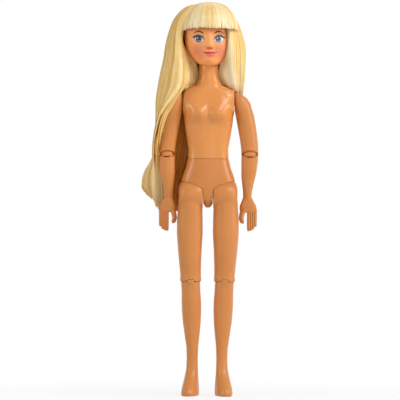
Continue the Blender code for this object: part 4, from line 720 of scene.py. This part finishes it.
# Guides of the long hair, from the right of the face round the back to the left of it:
# sideways and front-to-back places at each level, in millimetres from the doll's axis
GUIDES = [
    [
        (-2.5, -4.5), (-7, -8.5), (-10.5, -11.5), (-15.3, -12.0), (-19.0, -6.5), (-18.4, -3.5),
        (-10.4, 1.5), (-7.4, 2.5), (-8, 5),
    ] + [(-10.0, 10.5)] * 10,
    [
        (-3.5, -4), (-9, -7), (-13, -9.5), (-17.5, -10.8), (-19.6, -9.5), (-19.9, -9),
        (-19.2, -10), (-18.8, -11.3), (-20.0, -12), (-26.5, -12), (-32.8, -9.8), (-36.0, -7.0),
        (-37.6, -4.0), (-37.9, -1.5), (-37.5, 1.5), (-37.0, 4.5), (-36.5, 7.5), (-36.3, 10),
        (-36.2, 10.5),
    ],
    [
        (-4.5, -3), (-12, -5.5), (-17.5, -8), (-22.5, -9), (-24.5, -10.5), (-25, -11.5),
        (-25.5, -12), (-27, -12), (-28.5, -12.2), (-32.5, -11), (-36.2, -8.6), (-38.0, -6.0),
        (-38.9, -3.0), (-40.2, 0.5), (-42.3, 4.5), (-42.5, 7.0), (-41.5, 9.0), (-39, 11),
        (-37, 11),
    ],
    [
        (-5, 0), (-14, 0), (-20.5, -0.5), (-26.2, -0.5), (-29.7, -1), (-32.1, -2), (-33.5, -3),
        (-35.7, -3.5), (-37.4, -3.5), (-38.9, -3), (-39.0, -1), (-39.1, 2), (-39, 5), (-42, 8),
        (-47.2, 10.5), (-49.2, 12), (-48, 12.5), (-42, 13), (-38, 12.5),
    ],
    [
        (-4.5, 2.5), (-12.5, 6), (-18.5, 8), (-24.5, 9.5), (-27.5, 10), (-29.5, 10), (-30.5, 9),
        (-32.5, 8), (-34.5, 7), (-36.2, 7), (-37.3, 7.5), (-37.8, 9), (-37.8, 11), (-40, 12.5),
        (-43.5, 13.5), (-45, 14), (-43.5, 14), (-39.5, 13.5), (-37, 13),
    ],
    [
        (-3.5, 4.5), (-9.5, 11), (-14, 14.5), (-18.5, 17.5), (-20.5, 18.5), (-21.5, 18),
        (-22, 16.5), (-23.5, 14.5), (-24.5, 13.5), (-26, 13), (-28, 13), (-30, 13), (-31, 13.8),
        (-33, 14.8), (-35, 15.5), (-36, 15.8), (-35, 15.5), (-33.5, 15), (-32.5, 14.5),
    ],
    [
        (-2, 5), (-5, 13.5), (-7.5, 17.5), (-10, 21.5), (-11, 23), (-11, 22.5), (-11, 20.5),
        (-12, 18), (-12.5, 16.5), (-13.5, 15.5), (-16, 15), (-19, 15), (-21, 15.3), (-23, 15.8),
        (-25, 16.2), (-27, 16.4), (-27, 16), (-27, 15.5), (-27, 15),
    ],
    [
        (-0.5, 5), (-0.5, 14), (-0.5, 18.5), (-0.5, 23), (-0.5, 24.6), (0, 24), (0, 21.8),
        (0, 19), (-0.5, 17.5), (-1.5, 16.3), (-5, 15.6), (-9, 15.5), (-12, 15.6), (-14.5, 15.8),
        (-17, 16.2), (-19.5, 16.2), (-21, 16), (-22.5, 15.5), (-23, 15),
    ],
    [
        (1, 4.5), (4, 13), (6.5, 17.5), (8.5, 21.5), (9.8, 23), (10.3, 22.3), (10.2, 20.4),
        (9.8, 18), (9, 16.5), (8, 15.5), (3, 15.2), (-2, 15), (-6, 15.2), (-9, 15.4),
        (-12, 15.8), (-15, 15.8), (-17.5, 15.6), (-19.5, 15.2), (-20.5, 15),
    ],
    [
        (2, 3), (8, 9.5), (12.5, 13), (15.5, 16), (17.5, 17), (18.8, 16.5), (19.2, 15.5),
        (18.5, 14.5), (16.5, 13.5), (14.5, 13.5), (10, 14), (4, 14.4), (0, 14.8), (-4, 15),
        (-8, 15.2), (-11.5, 15.3), (-15, 15.3), (-17.5, 15), (-18.5, 14.8),
    ],
    [
        (2.5, 1), (9, 4), (14.5, 6), (20, 7.5), (23.6, 7.5), (26.0, 7), (26.3, 7), (26.0, 7.2),
        (25.3, 8.5), (24.0, 11.5),
    ] + [(23.0, 12.0)] * 9,
    [
        (2.5, -1), (8.5, -1.5), (14, -2), (20.2, -2.5), (23.8, -3), (26.4, -3.5), (26.6, -3.5),
        (26.4, -2.5), (25.6, 2.5), (24.6, 10.2),
    ] + [(24.0, 11.0)] * 9,
    [
        (2, -2.5), (8, -4.5), (13, -6), (18.6, -7.6), (20.4, -8.4), (21.6, -9.2), (22.0, -8.6),
        (22.2, -5.8), (22.5, 0), (22.5, 10),
    ] + [(22.0, 10.6)] * 9,
    [
        (1.5, -3.5), (7, -6.5), (11.5, -9), (15.8, -11), (15.6, -12.2), (15.0, -12.6),
        (14.8, -11.5), (15.5, -8.5), (17.5, -3), (19.0, 9.5),
    ] + [(19.0, 10.0)] * 9,
    [
        (0.8, -4.3), (5, -8), (9, -11), (13.3, -12.6), (14.0, -11.5), (13.2, -9), (9.2, -2.5),
        (7.2, 0.5), (8.0, 4),
    ] + [(9.0, 10.0)] * 10,
]


LAST_GUIDE = len(GUIDES) - 1
# The guides are gathered at the crown: by this share, this far back and at this height
CROWN_SHARE, CROWN_BACK, CROWN_HEIGHT = 0.2, 0.4, 289.8


def guide_table(steps):
    """Points on a fine grid: guides across, levels down, all from the crown."""
    table = []
    for guide in GUIDES:
        line = [(x, y, z) for (x, y), z in zip(guide, LEVELS)]
        x, y, _ = line[0]
        line[0] = (x * CROWN_SHARE, y * CROWN_SHARE + CROWN_BACK, CROWN_HEIGHT)
        table.append(smooth_columns(line, steps))
    return np.array(table)


TABLE = guide_table(4)


def unit(vectors):
    """Rows of numbers, each made one long."""
    return vectors / (np.linalg.norm(vectors, axis=1, keepdims=True) + 1e-9)


def strand_line(s):
    """One guide line at a place across, on smooth curves between the guides."""
    place = s * LAST_GUIDE
    i = min(int(place), LAST_GUIDE - 1)
    a, d = TABLE[max(i - 1, 0)], TABLE[min(i + 2, LAST_GUIDE)]
    return between(a, TABLE[i], TABLE[i + 1], d, place - i)


def outward(line, s):
    """Directions away from the head and body along a line of hair."""
    ahead, behind = strand_line(min(s + 0.01, 1.0)), strand_line(max(s - 0.01, 0.0))
    return unit(np.cross(ahead - behind, np.gradient(line, axis=0)))


# Stretches of the hair from right to left, by their place among the guides: the locks beside
# the face before and after these, one over the right shoulder, the back, and the left side
RIGHT_SIDE, LEFT_SIDE = 0.8, 12.3
SHOULDER_LOCK = (RIGHT_SIDE, 2.2)
BACK, LEFT_FROM = (3.5, 9.3), 9.3
# Heights of the ends, and how ragged they are. The locks beside the face end higher the
# further out they lie, and so does the fall on the right
SIDE_END, SIDE_SLOPE, SIDE_NEAR, SIDE_RAGGED = 228.0, 0.29, 6.0, 1.4
LEFT_END, LEFT_RAGGED = 213.5, 3.0
FALL_END, FALL_RISE, FALL_EDGE, FALL_WIDTH = 136.0, 20.0, -36.5, 13.0
FALL_RAGGED = (-0.6, 3.4)


def hair_end(s, line):
    """How low the hair reaches at a place across."""
    place = s * LAST_GUIDE
    if place < RIGHT_SIDE or place > LEFT_SIDE:
        across = abs(line[:, 0][np.searchsorted(-line[:, 2], -SIDE_END - 1.0)])
        return SIDE_END - SIDE_SLOPE * max(0.0, across - SIDE_NEAR) + SIDE_RAGGED * rng.random()
    if place > LEFT_FROM:
        return LEFT_END + LEFT_RAGGED * rng.random()
    slant = max(0.0, (FALL_EDGE - line[-8:, 0].min()) / FALL_WIDTH)
    return FALL_END + FALL_RISE * slant + rng.uniform(*FALL_RAGGED)


def hair_object(name, points, faces, shades, body=None):
    """A mesh of hair, its points in millimetres and a shade for each."""
    made = new_object(name, [at(*p) for p in points], faces, HAIR.material, body)
    shade = made.data.attributes.new("shade", "FLOAT", "POINT")
    shade.data.foreach_set("value", np.array(shades, np.float32))
    return made


# A ribbon's ridge stands out by this share of its width, and is paler than its edges
RIDGE, RIDGE_TONE, EDGE_TONE = 0.3, 0.03, -0.06


class Tresses:
    """Many tapered ribbons gathered in one mesh, each with its own shade."""

    def __init__(self):
        self.points, self.faces, self.shades = [], [], []

    def add(self, line, out, width, shade, tip_shade):
        """A ribbon along a line of places, its ridge outward and its two ends narrow."""
        count = len(line)
        aside = unit(np.cross(unit(np.gradient(line, axis=0)), out))
        u = np.linspace(0, 1, count)
        # It widens over its first twelfth and narrows to a fine tip over its last seventh
        taper = np.clip(np.minimum(0.35 + 8 * u, (1.04 - u) * 7), 0.05, 1.0)[:, None]
        half = aside * taper * width / 2
        start = len(self.points)
        rise = out * RIDGE * width * taper
        for k in range(count):
            self.points.extend((line[k] - half[k], line[k] + rise[k], line[k] + half[k]))
            tone = shade + (tip_shade - shade) * u[k]
            self.shades.extend((tone + EDGE_TONE, tone + RIDGE_TONE, tone + EDGE_TONE))
        for k in range(count - 1):
            a = start + 3 * k
            self.faces.append((a, a + 1, a + 4, a + 3))
            self.faces.append((a + 1, a + 2, a + 5, a + 4))

    def build(self, name, body=None):
        """The ribbons as one object."""
        return hair_object(name, self.points, self.faces, self.shades, body)


def cut_at(line, out, height):
    """The line down to a height, with its last point moved up to it."""
    keep = max(int(np.searchsorted(-line[:, 2], -height)), 3)
    keep = min(keep, len(line) - 1)
    a, b = line[keep - 1], line[keep]
    share = np.clip((a[2] - height) / max(a[2] - b[2], 1e-6), 0.05, 1.0)
    cut = np.vstack([line[:keep], a + (b - a) * share])
    return cut, out[: keep + 1]


# Layers of the long hair, the inner sheet first: ribbons, inset and width in mm, and tone, lower
# in the inner layers as painted shade
HAIR_LAYERS = ((150, 1.9, 2.6, 0.08), (430, 0.9, 1.1, 0.18), (660, 0.25, 0.62, 0.26))
# How the tone varies: with the clumps, at random, and in all; paler beside the face as painted
# light on strands in shade; then darker deep in the back as painted shade, paler in the lock over
# the shoulder as painted light in the arm's shadow, and darker on the left as painted shade
# against the lamp there;
# and how much paler the tips are, on the left as a painted highlight
CLUMP_TONE, RANDOM_TONE, ADDED_TONE, PAINTED_LIGHT_BESIDE_FACE = 0.06, 0.11, 0.04, 0.24
PAINTED_SHADE_AT_BACK, PAINTED_LIGHT_ON_LOCK, PAINTED_SHADE_ON_LEFT = -0.26, 0.07, -0.15
TIP_TONE, PAINTED_HIGHLIGHT_LEFT_TIPS = 0.12, 0.50
# Clumps around the head, how far they stand out, and how far a ribbon sways to its side
FINE_CLUMPS, COARSE_CLUMPS = 160, 61
CLUMP_LIFT, SWAY = 0.22, 0.5


def long_tone(s, inner, base, clump):
    """The tone of a ribbon of the long hair at a place across, and that of its tip."""
    place = s * LAST_GUIDE
    beside = max(0.0, 0.5 - s * 3.5, 1.0 - (1.0 - s) * 7.0)
    tone = base + CLUMP_TONE * clump + rng.uniform(-RANDOM_TONE, RANDOM_TONE)
    # Strands beside the face and neck lie in shade and are made paler here, as painted light
    tone = tone + ADDED_TONE + PAINTED_LIGHT_BESIDE_FACE * beside
    # The inner sheet at the back is darkened, as painted shade
    if inner and BACK[0] < place < BACK[1]:
        tone += PAINTED_SHADE_AT_BACK
    # The lock over the shoulder lies in the arm's shadow and is made paler, as painted light
    elif SHOULDER_LOCK[0] < place < SHOULDER_LOCK[1]:
        tone += PAINTED_LIGHT_ON_LOCK
    # The left side, strongly lit by the lamp on that side, is darkened as painted shade
    if place > LEFT_FROM:
        tone += PAINTED_SHADE_ON_LEFT
        # The tips on the left are made pale, as a painted highlight
        return tone, tone + PAINTED_HIGHLIGHT_LEFT_TIPS
    return tone, tone + TIP_TONE


def make_long_hair():
    """The hair from the crown down: a sheet of broad ribbons, with finer ones over it."""
    tresses = Tresses()
    for count, inset, width, base in HAIR_LAYERS:
        inner = inset == HAIR_LAYERS[0][1]
        for k in range(count):
            s = (k + rng.random()) / count
            line = strand_line(s)
            out = outward(line, s)
            inset_here = inset + rng.uniform(-0.25, 0.35)
            clump = math.sin(s * FINE_CLUMPS) * 0.5 + math.sin(s * COARSE_CLUMPS + 2) * 0.5
            bends = np.sin(np.linspace(0, 5, len(line)) + rng.uniform(0, 6.28))
            sway = (np.linspace(0, 1, len(line)) * bends)[:, None]
            aside = unit(np.cross(np.gradient(line, axis=0), out))
            path = line - out * (inset_here - CLUMP_LIFT * clump)
            path = path + aside * sway * rng.uniform(-SWAY, SWAY)
            path, dirs = cut_at(path, out, hair_end(s, line))
            tone, tip_tone = long_tone(s, inner, base, clump)
            tresses.add(path, dirs, width * rng.uniform(0.75, 1.2), tone, tip_tone)
    return tresses.build("long_hair")


# Places down the fringe: reach from the axis and height, in millimetres
FRINGE_STEPS = [
    (-4.5, 289.3),
    (1.5, 290.0),
    (7.5, 289.6),
    (12.5, 287.4),
    (16.2, 283.6),
    (18.5, 279.2),
    (19.5, 275.0),
    (19.9, 270.8),
]
# The fringe's ends to the right and left, in degrees from the front of the face
FRINGE_FROM, FRINGE_TO = -67.0, 75.0
# Layers of the fringe, the inner one first: ribbons, lift and width in mm, and tone, lower in the
# inner layers as painted shade
FRINGE_LAYERS = ((100, -0.9, 1.5, 0.10), (260, -0.3, 0.9, 0.32), (320, 0.0, 0.55, 0.46))
# How flat its front is, how far it falls at the sides, and the highest that a hair lies
FRINGE_FLAT, FRINGE_FALL, FALL_ANGLE, HAIR_TOP = 1.06, 2.3, 1.25, 290.2
# How far its ends lie to the doll's left of the middle, and the height that it faces away from
FRINGE_SHIFT, HEAD_MIDDLE = 0.6, 266.0
# The width of a lock in degrees, and how far locks differ in tone, partly as painted highlights
# and shade between locks, and in length
LOCK_WIDTH, LOCK_TONES, LOCK_DROPS = (3.5, 9.0), (-0.22, 0.14), (-0.45, 0.45)
# How far ribbons are pulled to the middle of their lock
LOCK_PULL = (0.10, 0.42)


def fringe_reach(angle):
    """How much further the fringe stands out than a circle, at an angle from the front."""
    across, ahead = abs(math.sin(angle)) / FRINGE_FLAT, math.cos(angle)
    return (across**3 + ahead**3) ** (-1 / 3)


def make_fringe():
    """The straight fringe, in locks that differ a little in tone and length."""
    tresses = Tresses()
    locks, place = [], FRINGE_FROM
    while place < FRINGE_TO:
        wide = rng.uniform(*LOCK_WIDTH)
        locks.append((place + wide / 2, rng.uniform(*LOCK_TONES), rng.uniform(*LOCK_DROPS)))
        place += wide
    for count, lift, width, base in FRINGE_LAYERS:
        for k in range(count):
            degrees = FRINGE_FROM + (FRINGE_TO - FRINGE_FROM) * (k + rng.random()) / count
            centre, light, drop = min(locks, key=lambda lock: abs(lock[0] - degrees))
            angle, lock = math.radians(degrees), math.radians(centre)
            pull = rng.uniform(*LOCK_PULL)
            table = []
            for i, (reach, height) in enumerate(FRINGE_STEPS):
                share = i / (len(FRINGE_STEPS) - 1)
                a = angle + (lock - angle) * pull * share**2.5
                r = (reach + lift) * (1 + (fringe_reach(a) - 1) * share)
                a += FACE_TURN
                fall = FRINGE_FALL * (abs(angle) / FALL_ANGLE) ** 2 * share**2
                x, y = math.sin(a) * r + FRINGE_SHIFT * share, -math.cos(a) * r
                table.append((x, y, height + lift * (1 - share) - fall + drop * share**3))
            line = smooth_columns(table, 3)
            line[:, 2] = np.minimum(line[:, 2], HAIR_TOP)
            line[-1, 2] += rng.uniform(-0.25, 0.35)
            out = line - np.array([0.0, 0.0, HEAD_MIDDLE])
            out /= np.linalg.norm(out, axis=1, keepdims=True)
            # The lock's tone stands in partly for highlights and shade on the fringe
            tone = base + rng.uniform(-0.12, 0.12) + light
            tresses.add(line, out, width * rng.uniform(0.8, 1.2), tone - 0.10, tone + 0.18)
    return tresses.build("fringe", "head")


SCALP_SIDES = 64
# How far the scalp lies off the head at its sides, front and back, and how it is stretched
SCALP_OFF = (1.5, 1.2, 2.2)
SCALP_WIDER, SCALP_TALLER, TALLER_FROM = 1.02, 0.28, 280
# It is open at the face: this far to each side, in degrees, and below this height
SCALP_OPEN, SCALP_OPEN_BELOW = 76.0, 272.5
FACE_AT = 270.0
# Its tone, how much paler it is at the crown, and where that begins and over what height
SCALP_TONE, CROWN_TONE, PALER_FROM, PALER_OVER = -0.05, 0.45, 274.0, 8.0


def make_scalp():
    """The rooted base under the ribbons: close to the skull and open at the face."""
    sides, points, faces = SCALP_SIDES, [], []
    rings = [[a + b for a, b in zip(row, (0, *SCALP_OFF))] for row in HEAD_ROWS[2:]]
    rows = smooth_columns(rings, 4)
    for z, wide, front, back in rows:
        for i in range(sides):
            angle = 2 * math.pi * i / sides + FACE_TURN
            reach = back if math.sin(angle - FACE_TURN) > 0 else front
            x, y = math.cos(angle) * wide * SCALP_WIDER, math.sin(angle) * reach
            points.append((x, y, z + max(0.0, (z - TALLER_FROM) * SCALP_TALLER)))
    for r in range(len(rows) - 1):
        for i in range(sides):
            middle = (i + 0.5) / sides * 360.0
            if abs(middle - FACE_AT) >= SCALP_OPEN or rows[r][0] >= SCALP_OPEN_BELOW:
                faces.append(ring_face(r, i, sides))
    top = (len(rows) - 1) * sides
    faces.append(tuple(top + i for i in range(sides)))
    crown = [min(1.0, max(0.0, (z - PALER_FROM) / PALER_OVER)) for _, _, z in points]
    shades = [SCALP_TONE + CROWN_TONE * share for share in crown]
    return hair_object("scalp", points, faces, shades, "head")


long_hair = make_long_hair()
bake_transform(long_hair)
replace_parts(long_hair, "hair_fall_left", "hair_fall_back", "hair_fall_right", "hair_lock_right")
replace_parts(make_fringe(), "hair_fringe")
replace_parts(make_scalp(), "hair_cap")


# Camera, light and ground


LIT_HEIGHT = 0.15


def add_light(name, place, energy, size):
    """A soft lamp that faces the middle of the doll's height."""
    data = bpy.data.lights.new(name, "AREA")
    data.energy = energy
    data.shape = "ELLIPSE"
    data.size, data.size_y = size
    light = bpy.data.objects.new(name, data)
    bpy.context.scene.collection.objects.link(light)
    light.location = place
    target = Vector((NECK.x, NECK.y, LIT_HEIGHT))
    light.rotation_euler = (target - Vector(place)).to_track_quat("-Z", "Y").to_euler()


# The camera stands far before the doll, with a long lens and the photo's slight roll
SENSOR_WIDTH = 36.0
VIEW_WIDTH = 0.2952
VIEW_CENTRE = Vector((NECK.x - 0.0059, NECK.y, 0.1443))
VIEW_DISTANCE = 3.0
ROLL = math.radians(0.35)
camera_data = bpy.data.cameras.new("camera")
camera_data.sensor_width = SENSOR_WIDTH
camera_data.lens = SENSOR_WIDTH * VIEW_DISTANCE / VIEW_WIDTH
camera_data.clip_start = 0.05
camera = bpy.data.objects.new("camera", camera_data)
bpy.context.scene.collection.objects.link(camera)
camera.matrix_world = (
    Matrix.Translation(VIEW_CENTRE + Vector((0.0, -VIEW_DISTANCE, 0.0)))
    @ Matrix.Rotation(math.pi / 2, 4, "X")
    @ Matrix.Rotation(ROLL, 4, "Z")
)
bpy.context.scene.camera = camera
bpy.context.scene.view_settings.view_transform = "Standard"

# Lamps: name, place, power in watts, and width and height
for lamp in (
    ("key", (0.70, -0.90, 1.10), 8.0, (0.45, 0.45)),
    ("box_right", (1.20, -0.45, 0.60), 7.6, (0.36, 0.90)),
    ("box_left", (-1.15, -0.50, 0.55), 5.2, (0.32, 0.80)),
    ("front", (0.25, -1.60, 0.45), 2.0, (0.9, 0.9)),
    ("top", (0.0, 0.50, 1.10), 1.5, (0.5, 0.5)),
):
    add_light(*lamp)


WHITE = (1.0, 1.0, 1.0, 1.0)
# Within this radius of the doll the floor is mixed with plain white by this share only
SHADOW_RADIUS, SHADOW_PLAIN = 0.30, 0.80
# The strength of the world as it lights the doll and as it is seen
WORLD_LIGHT, WORLD_SEEN = 0.18, 1.0
FLOOR_HALF = 1.2


def shown_plainly(tree, lit, plain, share=1.0):
    """Mixes two shaders: camera, mirror and glass rays see the plain one, by a share."""
    path = tree.nodes.new("ShaderNodeLightPath")
    seen = path.outputs["Is Camera Ray"]
    for ray in ("Is Glossy Ray", "Is Transmission Ray"):
        either = tree.nodes.new("ShaderNodeMath")
        either.operation = "MAXIMUM"
        tree.links.new(seen, either.inputs[0])
        tree.links.new(path.outputs[ray], either.inputs[1])
        seen = either.outputs[0]
    part = tree.nodes.new("ShaderNodeMath")
    part.operation = "MULTIPLY"
    tree.links.new(seen, part.inputs[0])
    if isinstance(share, float):
        part.inputs[1].default_value = share
    else:
        tree.links.new(share, part.inputs[1])
    choose = tree.nodes.new("ShaderNodeMixShader")
    tree.links.new(part.outputs[0], choose.inputs[0])
    tree.links.new(lit, choose.inputs[1])
    tree.links.new(plain, choose.inputs[2])
    return choose.outputs[0]


def white_ground(name):
    """Matte ground that keeps the doll's soft shadow and runs out into plain white."""
    shader = Shader(name, Roughness=0.9)
    low, high = srgb(0.96, 0.96, 0.96), srgb(0.98, 0.98, 0.98)
    shader.colour(shader.mottle(shader.noise(30, 2.0), low, high))
    glow = shader.node("Emission")
    glow.inputs["Color"].default_value = WHITE
    glow.inputs["Strength"].default_value = WORLD_SEEN
    near = shader.spot((NECK.x, NECK.y, 0.0), SHADOW_RADIUS)
    share = shader.node("MapRange")
    share.inputs["To Min"].default_value = 1.0
    share.inputs["To Max"].default_value = SHADOW_PLAIN
    shader.link(near, share.inputs["Value"])
    lit, plain = shader.principled.outputs[0], glow.outputs[0]
    surface = shown_plainly(shader.tree, lit, plain, share.outputs["Result"])
    shader.link(surface, shader.tree.nodes["Material Output"].inputs["Surface"])
    return shader.material


def white_world():
    """A dim world that lights the doll softly and is seen as plain white."""
    world = bpy.data.worlds.new("studio")
    bpy.context.scene.world = world
    world.use_nodes = True
    tree = world.node_tree
    soft = tree.nodes["Background"]
    plain = tree.nodes.new("ShaderNodeBackground")
    for background, strength in ((soft, WORLD_LIGHT), (plain, WORLD_SEEN)):
        background.inputs["Color"].default_value = WHITE
        background.inputs["Strength"].default_value = strength
    surface = shown_plainly(tree, soft.outputs[0], plain.outputs[0])
    tree.links.new(surface, tree.nodes["World Output"].inputs["Surface"])


white_world()
floor_mesh = bpy.data.meshes.new("floor")
corners = [(x * FLOOR_HALF, y * FLOOR_HALF, 0) for x, y in ((-1, -1), (1, -1), (1, 1), (-1, 1))]
floor_mesh.from_pydata(corners, [], [(0, 1, 2, 3)])
floor_mesh.materials.append(white_ground("ground"))
floor = bpy.data.objects.new("floor", floor_mesh)
bpy.context.scene.collection.objects.link(floor)
